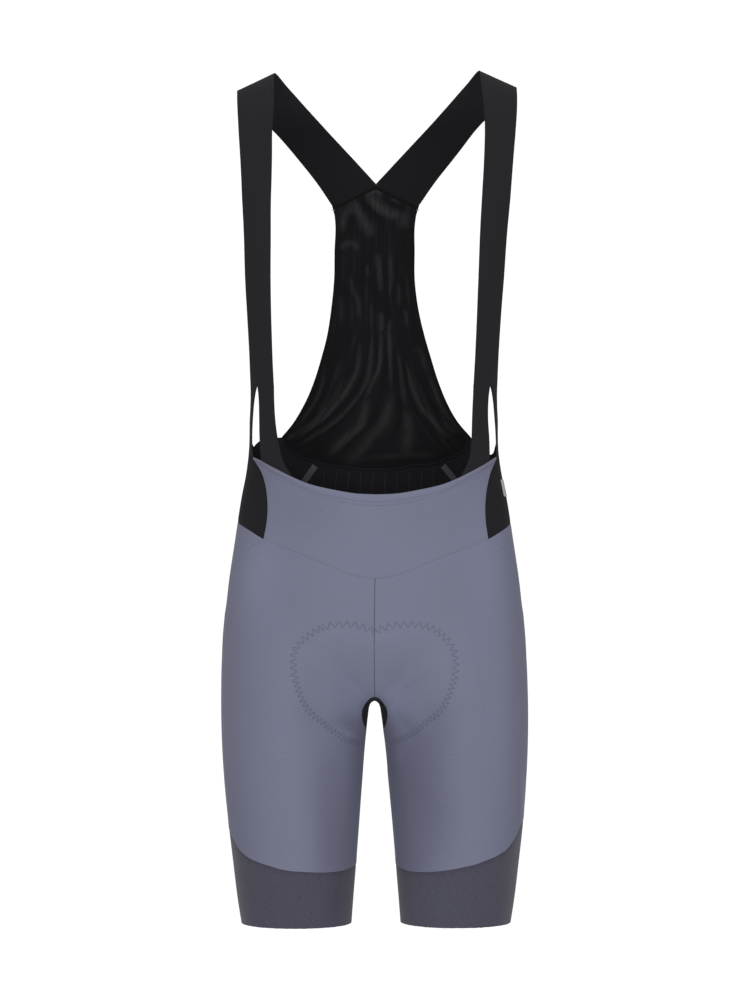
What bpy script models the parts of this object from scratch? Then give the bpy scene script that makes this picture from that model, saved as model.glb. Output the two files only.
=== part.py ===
"""Cycling bib shorts in the hollow shape that they take when worn, with no wearer.

Lengths are in millimetres until the meshes are made. +Z is up and 0 is under the straps on the shoulders. The
garment faces -Y, and the wearer's left is at +X. Angles are in degrees round the body or the leg: 0 is straight
ahead and 90 is the wearer's left. Every panel lies on one smooth figure: a torso that ends in a bowl, and two legs.
"""

import math
from collections import namedtuple

import bpy
import numpy as np

MM = 0.001

# Cloth
KNIT_WALL = 1.5
STRAP_WALL = 1.3
MESH_WALL = 1.1
BINDING_WALL = 1.8
TAPE_WALL = 1.0
SEAM_GAP = 0.3
LAYER_GAP = 0.4  # between a piece and the panel that it lies on

# Torso. The squareness is the power of the rounded section: 2 is an ellipse.
Torso = namedtuple("Torso", "height half_width front back square")
TORSO = (
    Torso(-577, 160, 106, 121, 2.3),
    Torso(-541, 156, 107.5, 115, 2.3),
    Torso(-498, 149.6, 105, 103, 2.3),
    Torso(-455, 143, 101, 92, 2.3),
    Torso(-422, 136.6, 98, 87, 2.3),
    Torso(-401, 134.8, 97, 86, 2.3),
    Torso(-380, 134.3, 97, 87, 2.3),
    Torso(-347, 135, 98, 90, 2.3),
    Torso(-303, 140, 102, 96, 2.3),
    Torso(-260, 147, 106, 104, 2.3),
    Torso(-217, 155, 108, 110, 2.3),
    Torso(-174, 161, 107, 113, 2.3),
    Torso(-131, 166, 104, 112, 2.35),
    Torso(-87, 168, 98, 107, 2.4),
)
CROTCH_HEIGHT = -672
BOWL_TOP = -577

# Legs. Outer and inner are the distances of a leg's two sides from the middle of the garment.
Leg = namedtuple("Leg", "height outer inner front back")
LEG = (
    Leg(-911, 144.7, 27, 65, 63),
    Leg(-887, 148.5, 25.2, 68, 66),
    Leg(-843, 153.9, 21.6, 74, 73),
    Leg(-800, 158.8, 18.2, 81, 81),
    Leg(-757, 162.5, 14.6, 88, 90),
    Leg(-714, 164.7, 10.9, 94, 100),
    Leg(-686, 165.2, 7.8, 97, 107.5),
    Leg(-660, 165, 4, 98.5, 113),
    Leg(-627, 164, -2, 97.5, 116),
    Leg(-600, 160.5, -8, 94, 114.5),
    Leg(-577, 155, -14, 88, 107),
    Leg(-541, 140, -25, 75, 90),
)
LEG_SQUARE = 2.1
LEG_AXIS = 88
FORK_BLEND = 10  # how softly the torso runs into the legs

# Seams and edges, as (angle, height). These turn about the body's axis.
Seam = namedtuple("Seam", "angle height")
YOKE_TOP = (
    Seam(0, -448), Seam(12, -447), Seam(23.7, -443.4), Seam(39.3, -436), Seam(48.4, -428.4), Seam(59.3, -420.5),
    Seam(71, -412), Seam(76.9, -409.5),
)
YOKE_SIDE = (
    Seam(76.9, -409.5), Seam(69, -421), Seam(62.8, -440), Seam(60, -458), Seam(59, -476), Seam(59.5, -497),
)
YOKE_BOTTOM = (Seam(0, -537), Seam(19.4, -525.7), Seam(40, -511.6), Seam(59.5, -497))
ARMHOLE = (Seam(100, -398), Seam(110, -394), Seam(120.5, -386))
SIDE_BACK_TOP = (Seam(120.5, -386), Seam(124.5, -400), Seam(130, -407.5), Seam(136.5, -411.5), Seam(139.6, -414))
SIDE_BOTTOM = (
    Seam(59.5, -497), Seam(68.4, -487.6), Seam(78, -481.5), Seam(90, -478), Seam(108, -475), Seam(127.5, -474),
)
TAPE_LINE = (Seam(139.6, -414), Seam(135.4, -432), Seam(131.2, -452), Seam(127.5, -474))
MESH_BOTTOM = (Seam(139.6, -414), Seam(156, -418), Seam(180, -422))
BACK_BOTTOM = (Seam(127.5, -474), Seam(152, -476), Seam(180, -480))
MESH_SIDE = (
    Seam(157.3, -136), Seam(158.4, -147), Seam(159, -178), Seam(158, -211), Seam(155.9, -240), Seam(152.5, -268),
    Seam(145.8, -300), Seam(140, -326), Seam(134, -350), Seam(127.5, -370), Seam(120.5, -386),
)
SIDE_SEAM = (
    Seam(59.5, -497), Seam(66.3, -502.7), Seam(70.9, -510.3), Seam(76.6, -524), Seam(81.3, -539), Seam(86.5, -560),
    Seam(90, -590),
)
CENTRE_FRONT = (-537, -664)
CENTRE_BACK = (-480, -648)
# These turn about the leg's axis.
LEG_SIDE_SEAM = (Seam(90, -590), Seam(93, -640), Seam(95, -700), Seam(94, -760), Seam(90, -815))
GUSSET_FRONT = (
    Seam(-59, -664), Seam(-65, -671), Seam(-61.5, -681), Seam(-65, -690), Seam(-84, -700.6), Seam(-99, -704),
)
GUSSET_BACK = (
    Seam(-135.2, -648), Seam(-133, -654), Seam(-129, -662), Seam(-122.5, -673), Seam(-118.5, -684), Seam(-113, -694),
    Seam(-106, -701), Seam(-99, -704),
)
INSEAM = (Seam(-99, -704), Seam(-95, -760), Seam(-92, -847))
GRIPPER_FRONT = (
    Seam(-92, -847), Seam(-60, -850.5), Seam(-20, -852), Seam(10, -850), Seam(40, -843), Seam(62, -833),
    Seam(78, -822), Seam(90, -815),
)
GRIPPER_BACK = (
    Seam(90, -815), Seam(105, -810), Seam(130, -812), Seam(165, -823), Seam(210, -838), Seam(250, -846),
    Seam(268, -847),
)
HEM_HEIGHT = -910.5
GUSSET_GAP = 0.4  # wider, as its edges lie along a hollow
GUSSET_PIVOT = -712  # the gusset is measured round a level line at this height, between the legs

# Trims
BINDING_WIDTH = 5.5
BAND_WIDTH = 5.5
WRINKLES = 3  # down each half of the mesh
WRINKLE_DEPTH = 1.4
TAPE_WIDTH = 7
TAPE_HEIGHTS = (-416, -470)

# Straps. The front runs up the figure from the keyhole, and the rest goes over the shoulder to the middle of the
# back. Inner is the neck side.
FrontStrap = namedtuple("FrontStrap", "height inner_x outer_x")
FRONT_STRAP = (
    FrontStrap(-331, 106.4, 131.8), FrontStrap(-306, 107.6, 132.6), FrontStrap(-263, 109.1, 134.7),
    FrontStrap(-221, 110.1, 137.3), FrontStrap(-178, 110.7, 139.3), FrontStrap(-136, 111.8, 142.2),
)
BackStrap = namedtuple("BackStrap", "inner_x inner_y inner_z outer_x outer_y outer_z")
BACK_STRAP = (
    BackStrap(113, -80.5, -93, 145, -59, -93),
    BackStrap(113.5, -71, -60, 147.5, -51, -62),
    BackStrap(112.3, -55, -31, 149.3, -38, -38),
    BackStrap(111, -33, -6, 150.2, -21, -19),
    BackStrap(110.5, -3, 7, 149.5, 2, -11),
    BackStrap(97.7, 38, -5, 131, 36, -29),
    BackStrap(77.7, 68, -26, 107, 65, -52),
    BackStrap(55.5, 91, -48.5, 87, 87, -76),
    BackStrap(27.7, 105, -76, 65, 102.5, -103),
    BackStrap(0.0, 109, -104, 47, 109.5, -130),
)
# Below the keyhole: a front limb that goes inside the yoke, and a side limb that runs into the side panel.
FrontLimb = namedtuple("FrontLimb", "height inner_angle outer_angle inset")
FRONT_LIMB = (
    FrontLimb(-331, 57.2, 68, 0), FrontLimb(-347, 57.2, 67.9, 0.2), FrontLimb(-368, 56.6, 68.5, 0.9),
    FrontLimb(-388, 55.9, 69.5, 1.7), FrontLimb(-404, 54.6, 69, 2), FrontLimb(-416, 52.3, 67, 2),
    FrontLimb(-428, 48.6, 63.5, 2), FrontLimb(-440, 45, 59, 2), FrontLimb(-452, 41, 55.5, 2),
)
SideLimb = namedtuple("SideLimb", "along front_angle front_height rear_angle rear_height")
SIDE_LIMB = (
    SideLimb(0, 68, -331, 75, -331), SideLimb(0.2, 72.6, -344, 78, -346), SideLimb(0.4, 76, -360, 82, -362),
    SideLimb(0.6, 79, -380, 88, -377), SideLimb(0.8, 79.2, -396, 94, -389), SideLimb(1, 76.9, -409.5, 100, -398),
)
KEYHOLE_COLUMN = 3  # which of the strap's columns parts at the keyhole

# Reflective tab on the wearer's left side panel
TAB_ANGLES = (76, 86)
TAB_HEIGHTS = (-451, -433)

# Colours, sRGB
SLATE = (118, 120, 141)
GRIPPER_GREY = (77, 77, 89)
BLACK_KNIT = (38, 37, 40)
BLACK_MESH = (26, 25, 28)
TAPE_GREY = (58, 56, 60)
REFLECTIVE = (196, 196, 198)

# How finely each stretch is divided
FRONT_COLUMNS = 12
LIMB_COLUMNS = 2  # of the side limb, and so of the side panel below it
ARMHOLE_COLUMNS = 3
SIDE_BACK_COLUMNS = 5
BACK_COLUMNS = 8
YOKE_ROWS = 7
TORSO_ROWS = 6
GUSSET_ROWS = 6
INSEAM_ROWS = 8
GRIPPER_ROWS = 3
MESH_ROWS = 16
FRONT_STRAP_ROWS = 12
BACK_STRAP_ROWS = 24
LIMB_ROWS = 10


def smooth_through(knots, values, at):
    """A smooth curve through the values at the knots, read at other places."""
    knots = np.asarray(knots, float)
    values = np.asarray(values, float)
    slopes = np.gradient(values, knots, axis=0)
    at = np.clip(at, knots[0], knots[-1])
    i = np.clip(np.searchsorted(knots, at) - 1, 0, len(knots) - 2)
    step = knots[i + 1] - knots[i]
    t = (at - knots[i]) / step
    if values.ndim > 1:
        step, t = step[..., None], t[..., None]
    start = values[i] * (1 + 2 * t) * (1 - t) ** 2 + slopes[i] * step * t * (1 - t) ** 2
    return start + values[i + 1] * t**2 * (3 - 2 * t) + slopes[i + 1] * step * t**2 * (t - 1)


def read_table(rows, height):
    """Every column of a table of sections at these heights."""
    heights = [row.height for row in rows]
    return [smooth_through(heights, column, height) for column in list(zip(*rows))[1:]]


def section_distance(x, y, drop, half_width, front, back, square):
    """How far a point lies outside a rounded section, roughly. The drop is the part of its distance that is down."""
    depth = np.where(y < 0, front, back)
    reach = np.abs(x / half_width) ** square + np.abs(y / depth) ** square
    reach = (reach + np.abs(drop / (BOWL_TOP - CROTCH_HEIGHT)) ** square) ** (1 / square)
    length = np.sqrt(x**2 + y**2 + drop**2)
    return length * (1 - 1 / np.maximum(reach, 1e-6))


def outside(points):
    """Rough distance from the figure's surface, below 0 inside it."""
    x, y, z = np.moveaxis(points, -1, 0)
    half_width, front, back, square = read_table(TORSO, np.maximum(z, BOWL_TOP))
    torso = section_distance(x, y, np.maximum(BOWL_TOP - z, 0), half_width, front, back, square)
    outer, inner, leg_front, leg_back = read_table(LEG, z)
    across = np.sqrt(x**2 + 4) - (outer + inner) / 2
    leg = section_distance(across, y, 0, (outer - inner) / 2, leg_front, leg_back, LEG_SQUARE)
    leg = leg + np.maximum(z - LEG[-1].height, 0)
    overlap = np.maximum(FORK_BLEND - np.abs(torso - leg), 0) / FORK_BLEND
    return np.minimum(torso, leg) - overlap**2 * FORK_BLEND / 4


def slope_of(points):
    """Direction in which the distance grows, with its rate."""
    step = 0.5
    moves = np.eye(3) * step
    return np.stack([outside(points + m) - outside(points - m) for m in moves], axis=-1) / (2 * step)


def outward(points):
    slope = slope_of(points)
    return slope / np.linalg.norm(slope, axis=-1, keepdims=True)


def settle(points):
    """Moves points straight onto the figure."""
    for _ in range(14):
        slope = slope_of(points)
        move = slope * (outside(points) / np.maximum((slope**2).sum(-1), 0.05))[..., None]
        length = np.linalg.norm(move, axis=-1, keepdims=True)
        points = points - move * np.minimum(1, 12 / np.maximum(length, 1e-9))
    return points


def on_figure(angle, height, axis=0.0):
    """Points on the figure at these angles about an upright axis, found by halving. A leg's stay on its own side."""
    angle, height = np.radians(np.asarray(angle, float)), np.asarray(height, float)
    near, far = np.zeros_like(height), np.full_like(height, 260.0)
    if axis:
        far = np.minimum(far, axis / np.maximum(-np.sin(angle), 0.01))
    for _ in range(34):
        reach = (near + far) / 2
        points = np.stack([axis + reach * np.sin(angle), -reach * np.cos(angle), height], axis=-1)
        inside = outside(points) < 0
        near, far = np.where(inside, reach, near), np.where(inside, far, reach)
    return points


def evenly(points, count, first=0.0):
    """The same line with evenly spaced points. The first space may be given a length of its own."""
    along = np.concatenate([[0], np.cumsum(np.linalg.norm(np.diff(points, axis=0), axis=1))])
    places = np.linspace(0, along[-1], count + 1)
    if first:
        places[1:] = np.linspace(first, along[-1], count)
    return np.stack([np.interp(places, along, points[:, k]) for k in range(3)], axis=-1)


def seam_line(rows, count, axis=0.0, first=0.0):
    """A seam through its table's rows, as points on the figure."""
    rows = np.asarray(rows, float)
    steps = np.linalg.norm(np.diff(rows, axis=0) * (1.6, 1.0), axis=1)
    along = np.concatenate([[0], np.cumsum(steps)])
    fine = smooth_through(along, rows, np.linspace(0, along[-1], 160))
    return evenly(on_figure(fine[:, 0], fine[:, 1], axis), count, first)


def centre_line(heights, count, back=False):
    """The middle line at the front or back, where two mirrored panels meet."""
    fine = np.linspace(*heights, 120)
    return evenly(on_figure(np.full(120, 180.0 if back else 0.0), fine), count)


def patch(top, bottom, left, right):
    """Fills four edges that share their corners with a grid of points. Left runs down the first column."""
    u = np.linspace(0, 1, len(top))[None, :, None]
    v = np.linspace(0, 1, len(left))[:, None, None]
    sides = (1 - u) * left[:, None] + u * right[:, None]
    ends = (1 - v) * top[None] + v * bottom[None]
    corners = (1 - v) * ((1 - u) * top[0] + u * top[-1]) + v * ((1 - u) * bottom[0] + u * bottom[-1])
    return sides + ends - corners


def round_axis(points, axis, turn=0.0):
    """Angle, reach and height about an upright axis. The turn says where the angle's break lies."""
    x, y = points[..., 0] - axis, points[..., 1]
    angle = (np.arctan2(x, -y) - turn) % (2 * math.pi) + turn
    return np.stack([angle, np.hypot(x, y), points[..., 2]], axis=-1)


def panel(top, bottom, left, right, axis=0.0, turn=-math.pi):
    """A panel's grid of points: the four edges are filled in angle, reach and height, then laid on the figure."""
    angle, reach, height = np.moveaxis(patch(*(round_axis(e, axis, turn) for e in (top, bottom, left, right))), -1, 0)
    grid = np.stack([axis + reach * np.sin(angle), -reach * np.cos(angle), height], axis=-1)
    inner = settle(grid[1:-1, 1:-1])
    grid[1:-1, 1:-1] = inner
    return grid


def pull_in(grid, edges, gap=SEAM_GAP / 2):
    """Draws the named edges in along the cloth, so that two panels leave a seam between them."""
    rows = {"top": (0, 1), "bottom": (-1, -2)}
    columns = {"left": (0, 1), "right": (-1, -2)}
    grid = grid.copy()
    before = grid.copy()
    for edge in edges:
        across = edge in rows
        first, second = rows[edge] if across else columns[edge]
        line = before[first] if across else before[:, first]
        inside_line = before[second] if across else before[:, second]
        along = np.gradient(line, axis=0)
        along /= np.linalg.norm(along, axis=-1, keepdims=True)
        inward = inside_line - line
        inward -= (inward * along).sum(-1, keepdims=True) * along
        inward *= gap / np.linalg.norm(inward, axis=-1, keepdims=True)
        if across:
            grid[first] += inward
        else:
            grid[:, first] += inward
    return grid


def material_of(name, colour, roughness):
    material = bpy.data.materials.new(name)
    material.use_nodes = True
    shader = material.node_tree.nodes["Principled BSDF"]
    linear = [(c / 255) ** 2.2 for c in colour]
    shader.inputs["Base Color"].default_value = (*linear, 1)
    shader.inputs["Roughness"].default_value = roughness
    shader.inputs["Metallic"].default_value = 0
    material.diffuse_color = (*linear, 1)
    return material


def cloth(name, points, faces, wall, material, collection, mirrored=False):
    """A cut piece of cloth: an open surface, with its wall to both sides of it."""
    mesh = bpy.data.meshes.new(name)
    mesh.from_pydata([tuple(p * MM) for p in points], [], faces)
    mesh.shade_smooth()
    mesh.materials.append(material)
    piece = bpy.data.objects.new(name, mesh)
    collection.objects.link(piece)
    if mirrored:
        mirror = piece.modifiers.new("Mirror", "MIRROR")
        mirror.merge_threshold = 0.0001
    thickness = piece.modifiers.new("Wall", "SOLIDIFY")
    thickness.thickness = wall * MM
    thickness.offset = 0
    return piece


def grid_faces(rows, columns, first=0, ring=False):
    """Four-sided faces of a grid of points, whose rows may close into rings."""
    faces = []
    for r in range(rows - 1):
        for c in range(columns if ring else columns - 1):
            a, b = first + r * columns + c, first + r * columns + (c + 1) % columns
            faces.append((a, a + columns, b + columns, b))
    return faces


def cloth_grid(name, grid, wall, material, collection, mirrored=False, ring=False):
    rows, columns = grid.shape[:2]
    if mirrored:
        grid[..., 0][np.abs(grid[..., 0]) < SEAM_GAP] = 0
    return cloth(
        name, grid.reshape(-1, 3), grid_faces(rows, columns, ring=ring), wall, material, collection, mirrored
    )


def on_side(grid, side):
    """The wearer's left piece as it is, or flipped over for the right."""
    return grid if side > 0 else (grid * (-1, 1, 1))[:, ::-1]


def strip_along(line, width, depth):
    """A flat strip centred on a line of the figure, moved out by its depth."""
    along = np.gradient(line, axis=0)
    across = np.cross(along, outward(line))
    across /= np.linalg.norm(across, axis=-1, keepdims=True)
    columns = [settle(line + across * width * share) for share in (-0.5, 0, 0.5)]
    return np.stack([c + outward(c) * depth for c in columns], axis=1)


def strap_rows():
    """The strap from the top of the keyhole, up over the shoulder and down to the middle of the back."""
    stations = []
    for row in FRONT_STRAP:
        half_width, depth, _, square = read_table(TORSO, np.array(float(row.height)))
        for x in (row.inner_x, row.outer_x):
            stations += [x, float(-depth * (1 - (x / half_width) ** square) ** (1 / square)), row.height]
    stations = np.array([*np.reshape(stations, (-1, 6)), *BACK_STRAP], float)
    middle = (stations[:, :3] + stations[:, 3:]) / 2
    along = np.concatenate([[0], np.cumsum(np.linalg.norm(np.diff(middle, axis=0), axis=1))])
    chest = along[len(FRONT_STRAP) - 1]
    places = [np.linspace(0, chest, FRONT_STRAP_ROWS + 1), np.linspace(chest, along[-1], BACK_STRAP_ROWS + 1)[1:]]
    edges = smooth_through(along, stations, np.concatenate(places))
    across = np.linspace(0, 1, KEYHOLE_COLUMN + LIMB_COLUMNS + 1)[None, :, None]
    rows = edges[:, None, :3] * (1 - across) + edges[:, None, 3:] * across
    for lying in (slice(0, FRONT_STRAP_ROWS + 1), slice(-2, None)):
        rows[lying] = settle(rows[lying])
    return rows


def limb_rows():
    """The strap's two limbs below the keyhole, from the top down."""
    share = np.linspace(0, 1, LIMB_ROWS + 1)
    table = np.array(FRONT_LIMB, float)
    height, inner, outer, inset = smooth_through(np.linspace(0, 1, len(table)), table, share).T[..., None]
    across = np.linspace(0, 1, KEYHOLE_COLUMN + 1)
    front = on_figure(inner + (outer - inner) * across, height + 0 * across)
    front = front - outward(front) * inset[..., None]
    table = np.array(SIDE_LIMB, float)
    _, angle, height, rear_angle, rear_height = smooth_through(table[:, 0], table, share).T[..., None]
    across = np.linspace(0, 1, LIMB_COLUMNS + 1)
    return front, on_figure(angle + (rear_angle - angle) * across, height + (rear_height - height) * across)


def strap(name, side, material, collection):
    upper = strap_rows()
    front, rear = limb_rows()
    upper = pull_in(upper, ("bottom",))
    rear = pull_in(rear, ("bottom",), SEAM_GAP)
    columns = upper.shape[1]
    points = [*upper.reshape(-1, 3)]
    faces = [face[::-1] for face in grid_faces(len(upper), columns)]
    for limb, first_column in ((front, 0), (rear, KEYHOLE_COLUMN)):
        numbers = [list(range(first_column, first_column + limb.shape[1]))]
        for row in limb[1:]:
            numbers.append(list(range(len(points), len(points) + len(row))))
            points += [*row]
        for above, below in zip(numbers, numbers[1:]):
            for c in range(len(above) - 1):
                faces.append((above[c], below[c], below[c + 1], above[c + 1]))
    if side < 0:
        points = [p * (-1, 1, 1) for p in points]
        faces = [face[::-1] for face in faces]
    return cloth(name, points, faces, STRAP_WALL, material, collection)


def gusset_grid(front_edge, back_edge):
    """The crotch panel, filled in depth and in the angle round the pivot line between the legs."""
    flip = np.array([-1.0, 1.0, 1.0])
    edges = []
    for line in (front_edge, back_edge[::-1] * flip, front_edge * flip, back_edge[::-1]):
        edges.append(np.stack([line[:, 1], np.arctan2(line[:, 0], line[:, 2] - GUSSET_PIVOT)], axis=-1))
    top, bottom, left, right = edges
    depth, angle = np.moveaxis(patch(top, bottom, left, right), -1, 0)
    near, far = np.zeros_like(angle), np.full_like(angle, 100.0)
    for _ in range(34):
        reach = (near + far) / 2
        points = np.stack([reach * np.sin(angle), depth, GUSSET_PIVOT + reach * np.cos(angle)], axis=-1)
        clear = outside(points) > 0
        near, far = np.where(clear, reach, near), np.where(clear, far, reach)
    grid = points
    grid[0], grid[:, -1] = front_edge, back_edge[::-1]
    grid[:, 0], grid[-1] = front_edge * flip, back_edge[::-1] * flip
    return pull_in(grid, ("top", "bottom", "left", "right"), GUSSET_GAP)


def build():
    for old in list(bpy.data.objects):
        bpy.data.objects.remove(old, do_unlink=True)
    collection = bpy.data.collections.new("Cycling bib shorts")
    bpy.context.scene.collection.children.link(collection)

    slate = material_of("Slate knit", SLATE, 0.75)
    gripper_grey = material_of("Gripper knit", GRIPPER_GREY, 0.85)
    black = material_of("Black knit", BLACK_KNIT, 0.8)
    black_mesh = material_of("Black mesh", BLACK_MESH, 0.85)
    strap_black = material_of("Strap knit", BLACK_KNIT, 0.7)
    tape_grey = material_of("Bonding tape", TAPE_GREY, 0.6)
    reflective = material_of("Reflective film", REFLECTIVE, 0.35)

    # Yoke
    yoke_bottom = seam_line(YOKE_BOTTOM, FRONT_COLUMNS)
    yoke_side = seam_line(YOKE_SIDE, YOKE_ROWS)
    middle = centre_line((YOKE_TOP[0].height, YOKE_BOTTOM[0].height), YOKE_ROWS)
    yoke = panel(seam_line(YOKE_TOP, FRONT_COLUMNS), yoke_bottom, middle, yoke_side)
    yoke = pull_in(yoke, ("bottom", "right"))
    cloth_grid("front_yoke", yoke, KNIT_WALL, slate, collection, mirrored=True)

    # Waist panels
    limb_end = limb_rows()[1][-1]
    side_back_top = seam_line(SIDE_BACK_TOP, SIDE_BACK_COLUMNS, first=BINDING_WIDTH)
    side_top = np.concatenate([limb_end, seam_line(ARMHOLE, ARMHOLE_COLUMNS)[1:], side_back_top[1:]])
    side_bottom = seam_line(SIDE_BOTTOM, LIMB_COLUMNS + ARMHOLE_COLUMNS + SIDE_BACK_COLUMNS)
    tape_line = seam_line(TAPE_LINE, YOKE_ROWS)
    side_panel = panel(side_top, side_bottom, yoke_side, tape_line)
    side_panel = pull_in(side_panel, ("top", "bottom", "left", "right"))
    back_bottom = seam_line(BACK_BOTTOM, BACK_COLUMNS)
    back_middle = centre_line((MESH_BOTTOM[-1].height, BACK_BOTTOM[-1].height), YOKE_ROWS, back=True)
    mesh_edge = seam_line(MESH_BOTTOM, BACK_COLUMNS)
    lower_back = panel(mesh_edge, back_bottom, tape_line, back_middle, turn=0)
    lower_back = pull_in(lower_back, ("top", "bottom", "left"))
    cloth_grid("lower_back_panel", lower_back, KNIT_WALL, black, collection, mirrored=True)

    # Upper back
    mesh_columns = SIDE_BACK_COLUMNS + BACK_COLUMNS - 1
    band_top = evenly(strap_rows()[-1, ::-1], mesh_columns)
    band_bottom = settle(band_top - (0, 0, BAND_WIDTH))
    band = pull_in(np.stack([band_top, band_bottom]), ("top", "bottom"))
    cloth_grid("back_seam_band", band, BINDING_WALL, black, collection, mirrored=True)
    mesh_side = seam_line(MESH_SIDE, MESH_ROWS)
    mesh_side[0] = band_bottom[0]
    inward = np.cross(np.gradient(mesh_side, axis=0), outward(mesh_side))
    inward *= BINDING_WIDTH / np.linalg.norm(inward, axis=-1, keepdims=True)
    binding_inside = settle(mesh_side - inward)
    binding_inside[0] = evenly(band_bottom, 1, first=BINDING_WIDTH)[1]
    binding_inside[-1] = side_back_top[1]
    binding = pull_in(np.stack([mesh_side, binding_inside], axis=1), ("top", "bottom", "right"))
    mesh_top = evenly(np.concatenate([binding_inside[:1], band_bottom[2:]]), mesh_columns)
    mesh_bottom = np.concatenate([side_back_top[1:], mesh_edge[1:]])
    mesh_middle = centre_line((band_bottom[-1, 2], mesh_bottom[-1, 2]), MESH_ROWS, back=True)
    mesh = panel(mesh_top, mesh_bottom, binding_inside, mesh_middle, turn=0)
    mesh = pull_in(mesh, ("top", "bottom", "left"))
    fold = np.sin(np.linspace(0, 2 * math.pi * WRINKLES, mesh_columns + 1))[None, :, None]
    fade = np.sin(np.linspace(0, math.pi, MESH_ROWS + 1))[:, None, None]
    mesh += outward(mesh) * fold * fade * WRINKLE_DEPTH
    cloth_grid("back_mesh", mesh, MESH_WALL, black_mesh, collection, mirrored=True)

    # Legs
    side_seam = evenly(
        np.concatenate([seam_line(SIDE_SEAM, 60), seam_line(LEG_SIDE_SEAM, 60, LEG_AXIS)[1:]]),
        TORSO_ROWS + GUSSET_ROWS + INSEAM_ROWS,
    )
    centre_front = centre_line(CENTRE_FRONT, TORSO_ROWS)
    centre_back = centre_line(CENTRE_BACK, TORSO_ROWS, back=True)
    gusset_front = seam_line(GUSSET_FRONT, GUSSET_ROWS, LEG_AXIS)
    gusset_back = seam_line(GUSSET_BACK, GUSSET_ROWS, LEG_AXIS)
    gusset_front[0], gusset_back[0] = centre_front[-1], centre_back[-1]
    cloth_grid("crotch_gusset", gusset_grid(gusset_front, gusset_back), KNIT_WALL, black, collection)
    inseam = seam_line(INSEAM, INSEAM_ROWS, LEG_AXIS)[1:]
    front_hem = seam_line(GRIPPER_FRONT, FRONT_COLUMNS, LEG_AXIS)
    back_top = np.concatenate([side_bottom, back_bottom[1:]])
    back_hem = seam_line(GRIPPER_BACK, len(back_top) - 1, LEG_AXIS)
    leg_front = panel(
        yoke_bottom, front_hem, np.concatenate([centre_front, gusset_front[1:], inseam]), side_seam, LEG_AXIS
    )
    leg_back = panel(
        back_top, back_hem, side_seam, np.concatenate([centre_back, gusset_back[1:], inseam]), LEG_AXIS, turn=0
    )
    leg_front = pull_in(leg_front, ("top", "bottom", "left", "right"))
    leg_back = pull_in(leg_back, ("top", "bottom", "left", "right"))
    ring = round_axis(np.concatenate([front_hem[:-1], back_hem[:-1]]), LEG_AXIS)
    drop = np.linspace(0, 1, GRIPPER_ROWS + 1)[:, None]
    heights = (ring[:, 2] - SEAM_GAP / 2) * (1 - drop) + HEM_HEIGHT * drop
    gripper = on_figure(np.degrees(ring[:, 0]) + 0 * drop, heights, LEG_AXIS)

    tape = strip_along(seam_line(tape_rows(), YOKE_ROWS), TAPE_WIDTH, -(KNIT_WALL / 2 + LAYER_GAP + TAPE_WALL / 2))
    for side, word in ((1, "left"), (-1, "right")):
        cloth_grid(f"side_panel_{word}", on_side(side_panel, side), KNIT_WALL, black, collection)
        cloth_grid(f"mesh_binding_{word}", on_side(binding, side), BINDING_WALL, black, collection)
        cloth_grid(f"leg_front_{word}", on_side(leg_front, side), KNIT_WALL, slate, collection)
        cloth_grid(f"leg_back_{word}", on_side(leg_back, side), KNIT_WALL, slate, collection)
        cloth_grid(f"leg_gripper_{word}", on_side(gripper, side), KNIT_WALL, gripper_grey, collection, ring=True)
        cloth_grid(f"back_tape_{word}", on_side(tape, side), TAPE_WALL, tape_grey, collection)
        strap(f"strap_{word}", side, strap_black, collection)

    angles, heights = np.meshgrid(np.linspace(*TAB_ANGLES, 4), np.linspace(*TAB_HEIGHTS[::-1], 4))
    tab = on_figure(angles, heights)
    tab = tab + outward(tab) * (KNIT_WALL / 2 + LAYER_GAP + TAPE_WALL / 2)
    cloth_grid("side_tab", tab, TAPE_WALL, reflective, collection)


def tape_rows():
    """The tape's middle line: the seam that it covers, from just below the mesh."""
    table = sorted((row.height, row.angle) for row in TAPE_LINE)
    heights = np.linspace(*TAPE_HEIGHTS, 6)
    return [Seam(angle, h) for angle, h in zip(smooth_through(*zip(*table), heights), heights)]


build()
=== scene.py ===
import math
import bpy
import numpy as np
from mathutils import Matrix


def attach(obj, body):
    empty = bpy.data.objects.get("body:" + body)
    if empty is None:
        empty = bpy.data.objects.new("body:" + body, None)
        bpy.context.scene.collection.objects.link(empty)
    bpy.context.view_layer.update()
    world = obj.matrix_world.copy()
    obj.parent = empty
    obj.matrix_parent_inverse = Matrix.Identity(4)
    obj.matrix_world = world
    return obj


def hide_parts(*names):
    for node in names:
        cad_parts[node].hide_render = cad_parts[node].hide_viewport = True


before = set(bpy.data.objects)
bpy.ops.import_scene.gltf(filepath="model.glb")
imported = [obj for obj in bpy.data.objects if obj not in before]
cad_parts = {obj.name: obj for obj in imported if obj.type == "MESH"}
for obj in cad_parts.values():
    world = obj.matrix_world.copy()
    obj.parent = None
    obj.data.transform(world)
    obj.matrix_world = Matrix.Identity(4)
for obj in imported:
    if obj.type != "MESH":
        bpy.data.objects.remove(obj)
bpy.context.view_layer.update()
mm = 0.001
mirror = np.array([-1.0, 1.0, 1.0])
sides = (("Left", 1), ("Right", -1))
pieces = {}
print("frame loaded")

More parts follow.
